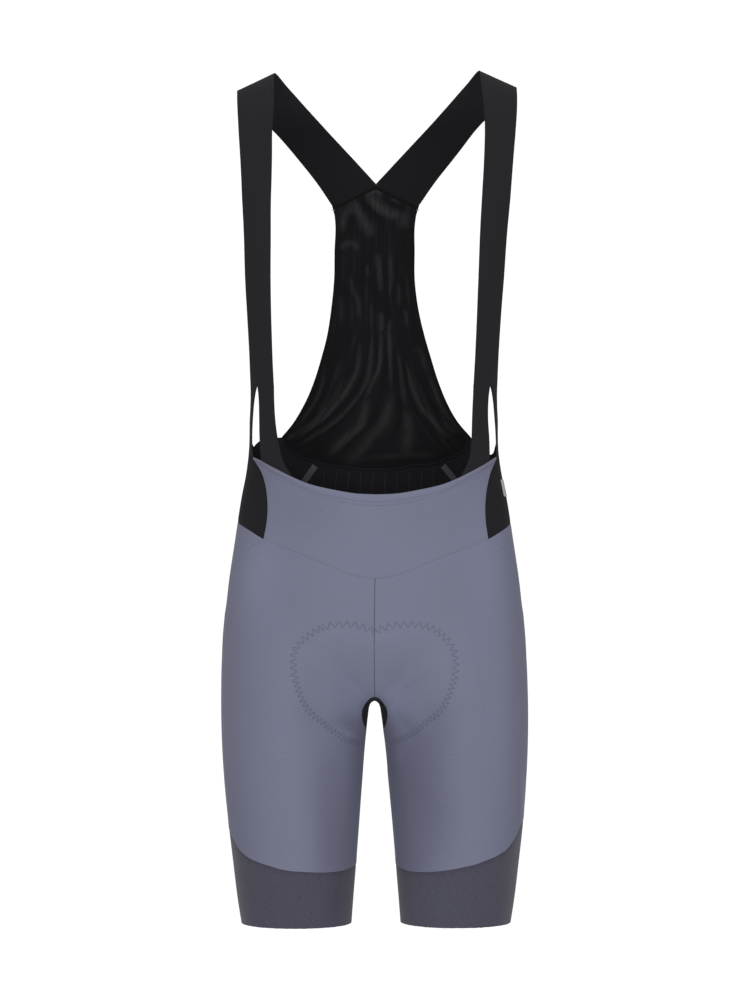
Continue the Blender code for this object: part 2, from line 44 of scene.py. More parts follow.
view = {"distance": 4.0, "height": -0.4547, "aside": 0.0004, "lens": 133.33, "sensor": 36, "farthest": 40}
studio = {"floor": -1.35, "floorSize": 4.6, "room": 0.38, "backdrop": 1.05, "paper": (0.88, 0.88, 0.88),
          "aim": (0, 0, -0.45)}
lamps = [
    # name, place, size, watts
    ("keyLamp", (-1.2, -3.6, 0.2), 1.6, 36),
    ("fillLamp", (1.4, -3.5, -0.2), 1.6, 31),
    ("lowLamp", (0.0, -2.6, -1.25), 1.0, 7),
    ("topLamp", (0.0, -0.6, 2.0), 1.4, 7),
]


def placed(name, data):
    made = bpy.data.objects.new(name, data)
    bpy.context.scene.collection.objects.link(made)
    return made


def setCamera():
    camera = placed("camera", bpy.data.cameras.new("camera"))
    camera.location = (view["aside"], -view["distance"], view["height"])
    camera.rotation_euler = (math.radians(90), 0, 0)
    camera.data.lens = view["lens"]
    camera.data.sensor_width = view["sensor"]
    camera.data.clip_end = view["farthest"]
    bpy.context.scene.camera = camera
    bpy.context.scene.view_settings.view_transform = "Standard"


def setFloor():
    half, low = studio["floorSize"] / 2, studio["floor"]
    sheet = bpy.data.meshes.new("floor")
    corners = [(-half, -half, low), (half, -half, low), (half, half, low), (-half, half, low)]
    sheet.from_pydata(corners, [], [(0, 1, 2, 3)])
    paper = bpy.data.materials.new("paper")
    paper.use_nodes = True
    inputs = paper.node_tree.nodes["Principled BSDF"].inputs
    inputs["Base Color"].default_value = (*studio["paper"], 1)
    inputs["Roughness"].default_value = 1
    sheet.materials.append(paper)
    floor = placed("floor", sheet)


def setRoom():  # the room lights the cloth evenly, and shows as plain white behind it
    world = bpy.data.worlds.new("room")
    world.use_nodes = True
    tree = world.node_tree
    strength = tree.nodes.new("ShaderNodeMix")
    tree.links.new(tree.nodes.new("ShaderNodeLightPath").outputs["Is Camera Ray"], strength.inputs[0])
    strength.inputs[2].default_value = studio["room"]
    strength.inputs[3].default_value = studio["backdrop"]
    background = tree.nodes["Background"].inputs
    background["Color"].default_value = (1, 1, 1, 1)
    tree.links.new(strength.outputs[0], background["Strength"])
    bpy.context.scene.world = world


def setLamps():
    for name, place, size, watts in lamps:
        lamp = bpy.data.lights.new(name, "AREA")
        lamp.size, lamp.energy = size, watts
        holder = placed(name, lamp)
        holder.location = place
        x, y, z = np.array(studio["aim"]) - np.array(place)
        holder.rotation_euler = (math.atan2(math.hypot(x, y), -z), 0, math.atan2(y, x) - math.pi / 2)


setCamera()
setFloor()
setRoom()
setLamps()
print("camera and studio set")

# The worn figure that all the cloth lies on, in millimetres. It is never shown itself.
figure = {
    # height, half width, front, back, squareness (2 is an ellipse)
    "torso": [
        (-577, 160, 106, 121, 2.3), (-541, 156, 107.5, 115, 2.3), (-498, 149.6, 105, 103, 2.3),
        (-455, 143, 101, 92, 2.3), (-422, 136.6, 98, 87, 2.3), (-401, 134.1, 97, 86, 2.3),
        (-380, 133.5, 97, 87, 2.3), (-347, 134.7, 98, 90, 2.3), (-303, 140, 102, 96, 2.3),
        (-260, 147, 106, 104, 2.3), (-217, 155, 108, 110, 2.3), (-174, 161, 107, 113, 2.3),
        (-131, 166, 104, 112, 2.35), (-87, 168, 98, 107, 2.4),
    ],
    # height, outer side, inner side, front, back
    "leg": [
        (-911, 144.7, 27, 65, 63), (-887, 148.5, 25.2, 68, 66), (-843, 153.9, 21.6, 74, 73),
        (-800, 158.8, 18.2, 81, 81), (-757, 162.5, 14.6, 88, 90), (-714, 164.7, 10.9, 94, 100),
        (-686, 165.2, 7.8, 97, 107.5), (-660, 165, 4, 98.5, 113), (-627, 164, -2, 97.5, 116),
        (-600, 162, -8, 94, 114.5), (-577, 155, -14, 88, 107), (-541, 140, -25, 75, 90),
    ],
    "legSquare": 2.1, "crotch": -669.5, "bowlTop": -577, "forkBlend": 10, "legAxis": 88, "middleSoft": 2,
    # height, how far the front, the sides and the back lie off the middle, as it is worn a little askew
    "lean": [
        (-911, 1.5, 1.5, 0.5), (-800, 1.3, 1.2, 0.4), (-757, 0.9, 0.7, 0.2), (-700, 0.3, 0.2, 0),
        (-600, -0.6, -0.6, 0), (-545, 0.0, -0.6, 2), (-500, 1.3, -0.6, 4), (-460, 1.9, -0.7, 4.8),
        (-430, 1.8, -0.9, 4.6), (-400, 0.6, -1.1, 2.6), (-370, -1.0, -0.9, 1.4), (-330, -1.0, -0.5, 1.7),
        (-278, -0.7, -0.2, 1.4), (-240, -0.4, -0.2, 0.1), (-170, 0.9, 0.4, 0.1), (-140, 1.6, 0.8, 0.8),
        (-40, 3.1, 2.4, 2.4),
    ],
    "leanFront": 60, "leanBack": 70,
    # the wearer's left shoulder stands a little higher: how much, for each millimetre off the middle
    "tilt": 0.012, "tiltFrom": -170, "tiltOver": 130,
}


def smoothThrough(knots, values, at):
    knots, values = np.asarray(knots, float), np.asarray(values, float)
    slopes = np.gradient(values, knots, axis=0)
    at = np.clip(at, knots[0], knots[-1])
    i = np.clip(np.searchsorted(knots, at) - 1, 0, len(knots) - 2)
    step = knots[i + 1] - knots[i]
    t = (at - knots[i]) / step
    if values.ndim > 1:
        step, t = step[..., None], t[..., None]
    start = values[i] * (1 + 2 * t) * (1 - t) ** 2 + slopes[i] * step * t * (1 - t) ** 2
    return start + values[i + 1] * t**2 * (3 - 2 * t) + slopes[i + 1] * step * t**2 * (t - 1)


def softStep(value):
    value = np.clip(value, 0, 1)
    return value**2 * (3 - 2 * value)


def bell(away, width):  # 1 at no distance, and softly down to 0
    return np.exp(-((away / width) ** 2))


def unit(vectors):
    return vectors / np.maximum(np.linalg.norm(vectors, axis=-1, keepdims=True), 1e-9)


def formAt(rows, height):
    columns = np.array(rows, float).T
    return [smoothThrough(columns[0], column, height) for column in columns[1:]]


def sectionDistance(x, y, drop, halfWidth, front, back, square):
    depth = np.where(y < 0, front, back)
    bowl = figure["bowlTop"] - figure["crotch"]
    reach = np.abs(x / halfWidth) ** square + np.abs(y / depth) ** square
    reach = (reach + np.abs(drop / bowl) ** square) ** (1 / square)
    return np.sqrt(x**2 + y**2 + drop**2) * (1 - 1 / np.maximum(reach, 1e-6))


def outside(points):  # roughly how far points are from the figure, below 0 inside it
    x, y, z = np.moveaxis(points, -1, 0)
    halfWidth, front, back, square = formAt(figure["torso"], np.maximum(z, figure["bowlTop"]))
    drop = np.maximum(figure["bowlTop"] - z, 0)
    torso = sectionDistance(x, y, drop, halfWidth, front, back, square)
    outer, inner, legFront, legBack = formAt(figure["leg"], z)
    across = np.sqrt(x**2 + figure["middleSoft"] ** 2) - (outer + inner) / 2
    leg = sectionDistance(across, y, 0, (outer - inner) / 2, legFront, legBack, figure["legSquare"])
    leg = leg + np.maximum(z - figure["leg"][-1][0], 0)
    overlap = np.maximum(figure["forkBlend"] - np.abs(torso - leg), 0) / figure["forkBlend"]
    return np.minimum(torso, leg) - overlap**2 * figure["forkBlend"] / 4


def slopeOf(points, probe=0.5):
    return np.stack([outside(points + step) - outside(points - step) for step in np.eye(3) * probe], axis=-1)


def outward(points):
    return unit(slopeOf(points))


def settle(points, rounds=10, longest=12, flattest=0.05):  # moves points straight onto the figure
    for _ in range(rounds):
        slope = slopeOf(points)
        move = slope * (outside(points) / np.maximum((slope**2).sum(-1), flattest))[..., None]
        length = np.linalg.norm(move, axis=-1, keepdims=True)
        points = points - move * np.minimum(1, longest / np.maximum(length, 1e-9))
    return points


def ontoFigure(placeAt, far, way=1, rounds=32):  # points where they pass out of the figure, or (-1) into it
    near = np.zeros_like(far)
    for _ in range(rounds):
        reach = (near + far) / 2
        short = outside(placeAt(reach)) * way < 0
        near, far = np.where(short, reach, near), np.where(short, far, reach)
    return placeAt(reach)


def onFigure(angle, height, axis=0.0):  # degrees: 0 is straight ahead, 90 the wearer's left
    angle, height = np.radians(np.asarray(angle, float)), np.asarray(height, float)
    far = np.full_like(height, 260.0)
    if axis:
        far = np.minimum(far, axis / np.maximum(-np.sin(angle), 0.01))

    def placeAt(reach):
        return np.stack([axis + reach * np.sin(angle), -reach * np.cos(angle), height], axis=-1)

    return ontoFigure(placeAt, far)


def facing(rows, way):  # points of the figure at these x and heights, on its front (-1) or back (1)
    x, height = np.asarray(rows, float).T
    return ontoFigure(lambda reach: np.stack([x, reach * way, height], axis=-1), np.full_like(x, 150.0))


def runAlong(points):  # how far each point is along its line, from the line's start
    steps = np.linalg.norm(np.diff(points, axis=0), axis=-1)
    return np.concatenate([np.zeros((1, *steps.shape[1:])), np.cumsum(steps, axis=0)])


def evenly(points, count, first=0.0):
    along = runAlong(points)
    places = np.linspace(0, along[-1], count + 1)
    if first:
        places[1:] = np.linspace(first, along[-1], count)
    return np.stack([np.interp(places, along, points[:, k]) for k in range(3)], axis=-1)


def curved(rows, count=60, weights=1.0):  # a smooth line through a table's rows
    rows = np.asarray(rows, float)
    along = runAlong(rows * weights)
    return smoothThrough(along, rows, np.linspace(0, along[-1], count))


def seamLine(rows, count, axis=0.0, first=0.0):  # rows of angle and height
    angle, height = curved(rows, 260, (1.6, 1.0)).T
    return evenly(onFigure(angle, height, axis), count, first)


def centreLine(top, bottom, count, angle=0.0):
    return evenly(onFigure(np.full(200, angle), np.linspace(top, bottom, 200)), count)


def patch(top, bottom, left, right):
    u = np.linspace(0, 1, len(top))[None, :, None]
    v = np.linspace(0, 1, len(left))[:, None, None]
    between = (1 - u) * left[:, None] + u * right[:, None] + (1 - v) * top[None] + v * bottom[None]
    return between - (1 - v) * ((1 - u) * top[0] + u * top[-1]) - v * ((1 - u) * bottom[0] + u * bottom[-1])


def roundAxis(points, axis, turn):
    x, y = points[..., 0] - axis, points[..., 1]
    angle = (np.arctan2(x, -y) - turn) % (2 * math.pi) + turn
    return np.stack([angle, np.hypot(x, y), points[..., 2]], axis=-1)


def panelGrid(top, bottom, left, right, axis=0.0, turn=-math.pi):
    filled = patch(*(roundAxis(edge, axis, turn) for edge in (top, bottom, left, right)))
    angle, reach, height = np.moveaxis(filled, -1, 0)
    grid = np.stack([axis + reach * np.sin(angle), -reach * np.cos(angle), height], axis=-1)
    grid[1:-1, 1:-1] = settle(grid[1:-1, 1:-1])
    return grid


around = ("top", "bottom", "left", "right")


def fromEdge(grid, edge):  # the same grid, seen with this edge as its first row
    rows = grid if edge in ("top", "bottom") else grid.swapaxes(0, 1)
    return rows[::-1] if edge in ("bottom", "right") else rows


def pullIn(grid, edges, gap=0.12):  # leaves a gap along the named edges
    before, grid = grid.copy(), grid.copy()
    for edge in edges:
        rows = fromEdge(before, edge)
        along = unit(np.gradient(rows[0], axis=0))
        inward = rows[1] - rows[0]
        inward -= (inward * along).sum(-1, keepdims=True) * along
        fromEdge(grid, edge)[0] += unit(inward) * gap
    return grid


def edgeDistance(grid, edges):  # along the cloth to the nearest of the named edges
    best = np.full(grid.shape[:2], 1e9)
    for edge in edges:
        seen = fromEdge(best, edge)
        seen[:] = np.minimum(seen, runAlong(fromEdge(grid, edge)))
    return best


def onSide(grid, side):
    return grid if side > 0 else (grid * mirror)[:, ::-1]


def whole(half, centre):  # a panel across the middle, from its left half
    half = half.copy()
    half[:, 0 if centre == "left" else -1, 0] = 0
    other = onSide(half, -1)
    return np.concatenate([other[:, :-1], half] if centre == "left" else [half, other[:, 1:]], axis=1)


def nearPath(points, path):  # how far points are from a line, and how far along it, from 0 to 1
    flat = points.reshape(-1, points.shape[-1])
    best, share = np.full(len(flat), 1e9), np.zeros(len(flat))
    for i, (a, b) in enumerate(zip(path, path[1:])):
        edge = b - a
        t = np.clip(((flat - a) @ edge) / max(edge @ edge, 1e-9), 0, 1)
        away = np.linalg.norm(flat - a - t[:, None] * edge, axis=1)
        nearer = away < best
        best, share = np.where(nearer, away, best), np.where(nearer, (i + t) / (len(path) - 1), share)
    return best.reshape(points.shape[:-1]), share.reshape(points.shape[:-1])


def insideLoop(x, z, loop):
    inside = np.zeros(x.shape, bool)
    for (ax, az), (bx, bz) in zip(loop, np.roll(loop, -1, axis=0)):
        crosses = (az > z) != (bz > z)
        inside ^= crosses & (x < (bx - ax) * (z - az) / (bz - az + 1e-12) + ax)
    return inside


def unrolled(grid, ring):  # where each point lies on the flat cloth
    grid = np.concatenate([grid, grid[:, :1]], axis=1) if ring else grid
    u, v = runAlong(grid.swapaxes(0, 1)).T, runAlong(grid)
    return np.stack([u - u[:, [u.shape[1] // 2]], -v], axis=-1) * mm


def lean(points):
    moved = np.array(points, float)
    front, side, back = formAt(figure["lean"], moved[..., 2])
    forward = (front - side) * softStep(-moved[..., 1] / figure["leanFront"])
    backward = (back - side) * softStep(moved[..., 1] / figure["leanBack"])
    raised = softStep((moved[..., 2] - figure["tiltFrom"]) / figure["tiltOver"])
    moved[..., 2] += figure["tilt"] * moved[..., 0] * raised
    moved[..., 0] += side + forward + backward
    return moved


def gridNormals(grid, ring=False):
    across = np.roll(grid, -1, axis=1) - np.roll(grid, 1, axis=1) if ring else np.gradient(grid, axis=1)
    normals = unit(np.cross(np.gradient(grid, axis=0), across))
    turned = np.sign((normals * outward(grid)).sum())
    return normals * turned, turned


def baked(piece):  # the piece as its modifiers show it, as a plain mesh
    graph = bpy.context.evaluated_depsgraph_get()
    shown = piece.evaluated_get(graph)
    flat = bpy.data.meshes.new_from_object(shown, preserve_all_data_layers=True, depsgraph=graph)
    piece.modifiers.clear()
    piece.data = flat
    flat.name = piece.name
    return piece


def clothFrom(name, points, cells, flat, materials, wall, tone=None):
    # cells: four point numbers each; flat: the same corners' places on the flat cloth
    mesh = bpy.data.meshes.new(name)
    mesh.from_pydata((lean(points) * mm).tolist(), [], cells.tolist())
    layer = mesh.uv_layers.new(name="weave")
    layer.data.foreach_set("uv", flat.reshape(-1, 2).ravel())
    if tone is not None:
        mesh.attributes.new("tone", "FLOAT", "POINT").data.foreach_set("value", tone.ravel())
    for material in materials:
        mesh.materials.append(material)
    piece = placed(name, mesh)
    thickness = piece.modifiers.new("wall", "SOLIDIFY")
    thickness.thickness, thickness.offset = wall * mm, 0
    if len(materials) > 1:
        thickness.material_offset = 1
    baked(piece)
    piece.data.shade_smooth()
    piece.data.set_sharp_from_angle(angle=math.radians(50))
    pieces[name] = piece


def cellCorners(rows, columns):  # row and column of the four corners of every cell
    r, c = (numbers.ravel() for numbers in np.meshgrid(np.arange(rows), np.arange(columns), indexing="ij"))
    return [(r, c), (r + 1, c), (r + 1, c + 1), (r, c + 1)]


def makeCloth(name, grid, materials, wall, relief=None, tone=None, ring=False):
    normals, turned = gridNormals(grid, ring)
    if relief is not None:
        grid = grid + normals * relief[..., None]
    rows, columns = grid.shape[:2]
    corners = cellCorners(rows - 1, columns if ring else columns - 1)
    cells = np.stack([r * columns + c % columns for r, c in corners], axis=1)
    places = unrolled(grid, ring)
    flat = np.stack([places[r, c] for r, c in corners], axis=1)
    if turned < 0:
        cells, flat = cells[:, ::-1], flat[:, ::-1]
    clothFrom(name, grid.reshape(-1, 3), cells, flat, materials, wall, tone)


def linear(colour):
    return tuple((c / 255) ** 2.2 for c in colour) + (1,)


def scaled(colour, share):
    return tuple(min(c * share, 1) for c in colour[:3]) + (1,)


def addNode(tree, kind, inputs=None, **settings):
    made = tree.nodes.new(kind)
    for key, value in settings.items():
        setattr(made, key, value)
    for key, value in (inputs or {}).items():
        if isinstance(value, bpy.types.NodeSocket):
            tree.links.new(value, made.inputs[key])
        else:
            made.inputs[key].default_value = value
    return made


def output(tree, kind, inputs=None, **settings):
    return addNode(tree, kind, inputs, **settings).outputs[0]


def maths(tree, operation, *values):
    return output(tree, "ShaderNodeMath", dict(enumerate(values)), operation=operation)


def times(tree, first, second):
    return maths(tree, "MULTIPLY", first, second)


def plus(tree, first, second):
    return maths(tree, "ADD", first, second)


def bands(tree, vector, direction, pitch, wobble=0.0, waveScale=0.314):
    inputs = {"Vector": vector, "Scale": waveScale / (pitch * mm), "Distortion": wobble, "Detail": 1.0,
              "Detail Scale": 0.4}
    settings = {"wave_type": "BANDS", "bands_direction": direction}
    return addNode(tree, "ShaderNodeTexWave", inputs, **settings).outputs["Fac"]


def speckle(tree, vector, scale, stretch, detail):
    stretched = output(tree, "ShaderNodeMapping", {"Vector": vector, "Scale": stretch})
    inputs = {"Vector": stretched, "Scale": scale, "Detail": detail}
    return addNode(tree, "ShaderNodeTexNoise", inputs).outputs["Fac"]


def spread(tree, value, low, high):  # the value from low to high, spread over 0 to 1
    return output(tree, "ShaderNodeMapRange", {0: value, 1: low, 2: high})


def blendColours(tree, share, first, second, mode="MIX"):
    inputs = {0: share, 6: first, 7: second}
    return addNode(tree, "ShaderNodeMix", inputs, data_type="RGBA", blend_type=mode).outputs[2]


def finish(tree, shader, colour, height, depth):
    tree.links.new(colour, shader.inputs["Base Color"])
    bump = output(tree, "ShaderNodeBump", {"Height": height, "Strength": 1.0, "Distance": depth * mm})
    tree.links.new(bump, shader.inputs["Normal"])


def startMaterial(name, look):
    material = bpy.data.materials.new(name)
    material.use_nodes = True
    tree = material.node_tree
    shader = tree.nodes["Principled BSDF"]
    shader.inputs["Roughness"].default_value = look["roughness"]
    shader.inputs["Sheen Weight"].default_value = look["sheen"]
    shader.inputs["Sheen Roughness"].default_value = look["sheenSpread"]
    shader.inputs["Specular IOR Level"].default_value = look["gloss"]
    return material, tree, shader, output(tree, "ShaderNodeUVMap", uv_map="weave")


def toneOf(tree):
    return addNode(tree, "ShaderNodeAttribute", attribute_name="tone").outputs["Fac"]


def toned(tree, colour):  # the colour, lighter or darker by the cloth's tone, which carries its painted light and shade
    shade = plus(tree, 1.0, toneOf(tree))
    grey = output(tree, "ShaderNodeCombineColor", {0: shade, 1: shade, 2: shade})
    return blendColours(tree, 1.0, colour, grey, "MULTIPLY")


# noise of each kind of yarn: scale, stretch, detail
grain = {
    "fibre": (900, (1, 0.35, 1), 3), "cloud": (14, (1, 0.6, 1), 3), "mottle": (620, (0.4, 1.5, 1), 4),
    "fleck": (900, (0.35, 1.3, 1), 2), "strapFibre": (800, (1, 0.5, 1), 3),
    "meshFibre": (500, (2.2, 0.25, 1), 3), "strand": (700, (1, 1, 1), 2),
}
# fine warp knit: upright wales of small loops, with a few lighter fibres
knits = {
    "slateKnit": {"colour": (116, 118, 139), "light": 0.07, "wale": 0.9, "course": 0.7, "depth": 0.05,
                  "roughness": 0.62, "sheen": 0.12, "sheenSpread": 0.35, "gloss": 0.2},
    "blackKnit": {"colour": (40, 39, 42), "light": 0.25, "wale": 1.0, "course": 0.8, "depth": 0.10,
                  "roughness": 0.7, "sheen": 0.012, "sheenSpread": 0.4, "gloss": 0.08},
    # the same lining, painted darker as shade for the straps' inner face
    "strapLining": {"colour": (34, 33, 36), "light": 0.1, "wale": 1.2, "course": 0.9, "depth": 0.05,
                    "roughness": 0.8, "sheen": 0.01, "sheenSpread": 0.5, "gloss": 0.06},
    "lining": {"colour": (38, 37, 40), "light": 0.2, "wale": 1.2, "course": 0.9, "depth": 0.08,
               "roughness": 0.8, "sheen": 0.01, "sheenSpread": 0.5, "gloss": 0.06},
}


def knitMaterial(name):
    look = knits[name]
    material, tree, shader, flat = startMaterial(name, look)
    loops = times(tree, bands(tree, flat, "X", look["wale"]), bands(tree, flat, "Y", look["course"], 1.5))
    fibres = speckle(tree, flat, *grain["fibre"])
    clouds = spread(tree, speckle(tree, flat, *grain["cloud"]), 0.25, 0.75)
    base, light = linear(look["colour"]), look["light"]
    dark, pale = scaled(base, 1 - light), scaled(base, 1 + 2.2 * light)
    mixed = blendColours(tree, spread(tree, fibres, 0.3, 0.75), dark, pale)
    colour = toned(tree, blendColours(tree, clouds, mixed, base))
    finish(tree, shader, colour, plus(tree, loops, times(tree, fibres, 0.35)), look["depth"])
    return material


# woven elastic: mottled crosswise yarns and light flecks
gripperLook = {"colour": (77, 76, 89), "fleck": (108, 108, 122), "flecks": 0.4, "dark": 0.86, "light": 1.16,
               "yarn": 1.1, "depth": 0.1, "roughness": 0.8, "sheen": 0.2, "sheenSpread": 0.5, "gloss": 0.12}


def gripperMaterial():
    look = gripperLook
    material, tree, shader, flat = startMaterial("gripperElastic", look)
    yarns = bands(tree, flat, "Y", look["yarn"], 1.2)
    mottled = speckle(tree, flat, *grain["mottle"])
    flecks = spread(tree, speckle(tree, flat, *grain["fleck"]), 0.64, 0.76)
    dark, light = (scaled(linear(look["colour"]), look[end]) for end in ("dark", "light"))
    mixed = blendColours(tree, spread(tree, mottled, 0.33, 0.68), dark, light)
    colour = blendColours(tree, times(tree, flecks, look["flecks"]), mixed, linear(look["fleck"]))
    finish(tree, shader, toned(tree, colour), plus(tree, yarns, mottled), look["depth"])
    return material


# the straps' elastic: fine lengthwise ribs, which open where it is stretched over a fold; there their crowns
# are painted lighter, which on the shoulder fold is a painted highlight
strapLook = {"colour": (43, 42, 45), "crown": (56, 55, 59), "rib": 2.3, "closed": 0.06, "pick": 0.9,
             "grain": 0.12, "depth": 0.22, "roughness": 0.7, "sheen": 0.02, "sheenSpread": 0.4,
             "gloss": 0.1}


def strapMaterial():
    look = strapLook
    material, tree, shader, flat = startMaterial("strapElastic", look)
    ribs = bands(tree, flat, "X", look["rib"])
    picks = bands(tree, flat, "Y", look["pick"], 2)
    fibres = speckle(tree, flat, *grain["strapFibre"])
    opened = times(tree, ribs, toneOf(tree))
    share = times(tree, opened, spread(tree, fibres, 0.2, 0.6))
    colour = blendColours(tree, share, linear(look["colour"]), linear(look["crown"]))
    ribbed = plus(tree, opened, times(tree, ribs, look["closed"]))
    rough = times(tree, plus(tree, picks, fibres), look["grain"])
    finish(tree, shader, colour, plus(tree, ribbed, rough), look["depth"])
    return material


# open mesh: rows of small holes, with painted highlights towards a lighter thread colour where the tone
# rises, and painted shade towards the holes' colour where it falls
meshLook = {"colour": (26, 25, 28), "hole": (11, 11, 13), "thread": (66, 66, 68), "glow": 0.55, "dim": 0.6,
            "across": 1.6, "along": 1.28, "depth": 0.15, "roughness": 0.6, "sheen": 0.01, "sheenSpread": 0.4,
            "gloss": 0.08}


def meshMaterial():
    look = meshLook
    material, tree, shader, flat = startMaterial("openMesh", look)
    yarns = [bands(tree, flat, way, look[size]) for way, size in (("X", "across"), ("Y", "along"))]
    net = maths(tree, "MAXIMUM", *yarns)
    fibres = speckle(tree, flat, *grain["meshFibre"])
    tone = toneOf(tree)
    lit = times(tree, tone, plus(tree, 0.35, spread(tree, fibres, 0.25, 0.75)))
    bright = output(tree, "ShaderNodeClamp", {0: times(tree, lit, look["glow"])})
    dim = output(tree, "ShaderNodeClamp", {0: times(tree, tone, -look["dim"])})
    hole = linear(look["hole"])
    colour = blendColours(tree, spread(tree, net, 0.2, 0.6), hole, linear(look["colour"]))
    # painted highlights towards the lighter thread colour, painted shade towards the holes
    colour = blendColours(tree, dim, blendColours(tree, bright, colour, linear(look["thread"])), hole)
    finish(tree, shader, colour, plus(tree, net, times(tree, fibres, 0.3)), look["depth"])
    return material


tapeLook = {"colour": (84, 82, 86), "pitch": 1.5, "bias": 0.7, "depth": 0.2, "dark": 0.5, "roughness": 0.5,
            "sheen": 0.1, "sheenSpread": 0.4, "gloss": 0.4}
filmLook = {"colour": (200, 200, 203), "pitch": 0.8, "bias": 0.7, "depth": 0.05, "dark": 0.85,
            "roughness": 0.35, "sheen": 0.0, "sheenSpread": 0.5, "gloss": 0.6}


def trimMaterial(name, look):
    material, tree, shader, flat = startMaterial(name, look)
    turned = output(tree, "ShaderNodeMapping", {"Vector": flat, "Rotation": (0, 0, look["bias"])})
    lines = times(tree, *(bands(tree, turned, way, look["pitch"]) for way in "XY"))
    base = linear(look["colour"])
    finish(tree, shader, blendColours(tree, lines, scaled(base, look["dark"]), base), lines, look["depth"])
    return material


# colour and shine
threads = {
    "seamThread": ((90, 88, 104), 0.3), "darkSeam": ((68, 62, 70), 0.3), "padThread": ((74, 76, 94), 0.3),
    "hemThread": ((84, 85, 103), 0.3), "blackThread": ((18, 18, 20), 0.03),
    "overlockThread": ((30, 29, 31), 0.06), "overlockLoop": ((42, 41, 44), 0.08),
    "stripeThread": ((54, 53, 56), 0.1),
}


def threadMaterial(name, colour, shine):
    look = {"roughness": 0.6, "sheen": shine / 2, "sheenSpread": 0.4, "gloss": shine}
    material, tree, shader, _ = startMaterial(name, look)
    place = addNode(tree, "ShaderNodeTexCoord").outputs["Object"]
    strands = spread(tree, speckle(tree, place, *grain["strand"]), 0.35, 0.7)
    base = linear(colour)
    finish(tree, shader, blendColours(tree, strands, base, scaled(base, 1.7)), strands, 0.05)
    return material


slateKnit, blackKnit, strapLining, lining = (knitMaterial(name) for name in knits)
gripperElastic, strapElastic, openMesh = gripperMaterial(), strapMaterial(), meshMaterial()
bondingTape, reflectiveFilm = trimMaterial("bondingTape", tapeLook), trimMaterial("reflectiveFilm", filmLook)
threadMaterials = {name: threadMaterial(name, *look) for name, look in threads.items()}
print("materials made")

# for every laid thread: steps along it, sides round it, and how far above the cloth it drops from
threadShape = {"step": 1.3, "sides": 6, "beadRings": 5, "above": 2.2}


def startTree(name, *sizes):
    tree = bpy.data.node_groups.new(name, "GeometryNodeTree")
    tree.is_modifier = True
    tree.interface.new_socket("Geometry", in_out="OUTPUT", socket_type="NodeSocketGeometry")
    kinds = {"Geometry": "Geometry", "Cloth": "Object", **dict.fromkeys(sizes, "Float"),
             "Material": "Material"}
    for label, kind in kinds.items():
        tree.interface.new_socket(label, in_out="INPUT", socket_type="NodeSocket" + kind)
    return tree, tree.nodes.new("NodeGroupInput").outputs


def vectorMaths(tree, operation, first, second=None):
    inputs = {0: first} if second is None else {0: first, "Scale" if operation == "SCALE" else 1: second}
    return output(tree, "ShaderNodeVectorMath", inputs, operation=operation)


def resampled(tree, curve, length):
    return output(tree, "GeometryNodeResampleCurve", {"Curve": curve, "Length": length}, mode="LENGTH")


def pathAlong(tree, given, length):  # the path in even steps, the way off the cloth, and its direction
    curve = output(tree, "GeometryNodeMeshToCurve", {"Mesh": given["Geometry"]})
    away = output(tree, "GeometryNodeInputNamedAttribute", {"Name": "away"}, data_type="FLOAT_VECTOR")
    tangent = output(tree, "GeometryNodeInputTangent")
    return resampled(tree, curve, length), vectorMaths(tree, "NORMALIZE", away), tangent


def laidOn(tree, curve, given, away):  # with snap at 1, points drop from above the cloth onto it
    here = output(tree, "GeometryNodeInputPosition")
    raised = vectorMaths(tree, "ADD", here, vectorMaths(tree, "SCALE", away, threadShape["above"] * mm))
    cloth = addNode(tree, "GeometryNodeObjectInfo", {"Object": given["Cloth"]}, transform_space="ORIGINAL")
    target = {"Geometry": cloth.outputs["Geometry"], "Sample Position": raised}
    nearest = addNode(tree, "GeometryNodeProximity", target).outputs["Position"]
    move = vectorMaths(tree, "SCALE", vectorMaths(tree, "SUBTRACT", nearest, here), given["Snap"])
    lift = vectorMaths(tree, "SCALE", away, given["Lift"])
    place = vectorMaths(tree, "ADD", vectorMaths(tree, "ADD", here, move), lift)
    return output(tree, "GeometryNodeSetPosition", {"Geometry": curve, "Position": place})


def closeTree(tree, geometry, given):
    smooth = output(tree, "GeometryNodeSetShadeSmooth", {"Geometry": geometry})
    real = output(tree, "GeometryNodeRealizeInstances", {"Geometry": smooth})
    done = output(tree, "GeometryNodeSetMaterial", {"Geometry": real, "Material": given["Material"]})
    tree.links.new(done, tree.nodes.new("NodeGroupOutput").inputs[0])
    return tree


def threadTree():  # a thread or cord laid along a path, straight or in a zigzag
    tree, given = startTree("laidThread", "Spacing", "Swing", "Lift", "Thickness", "Snap")
    curve, away, tangent = pathAlong(tree, given, given["Spacing"])
    number = addNode(tree, "GeometryNodeSplineParameter").outputs["Index"]
    swing = times(tree, maths(tree, "SUBTRACT", maths(tree, "MODULO", number, 2.0), 0.5), given["Swing"])
    sideways = vectorMaths(tree, "NORMALIZE", vectorMaths(tree, "CROSS_PRODUCT", tangent, away))
    offset = vectorMaths(tree, "SCALE", sideways, swing)
    curve = output(tree, "GeometryNodeSetPosition", {"Geometry": curve, "Offset": offset})
    curve = laidOn(tree, resampled(tree, curve, threadShape["step"] * mm), given, away)
    profile = {"Resolution": threadShape["sides"], "Radius": given["Thickness"]}
    ring = output(tree, "GeometryNodeCurvePrimitiveCircle", profile)
    tube = output(tree, "GeometryNodeCurveToMesh", {"Curve": curve, "Profile Curve": ring, "Fill Caps": True})
    return closeTree(tree, tube, given)


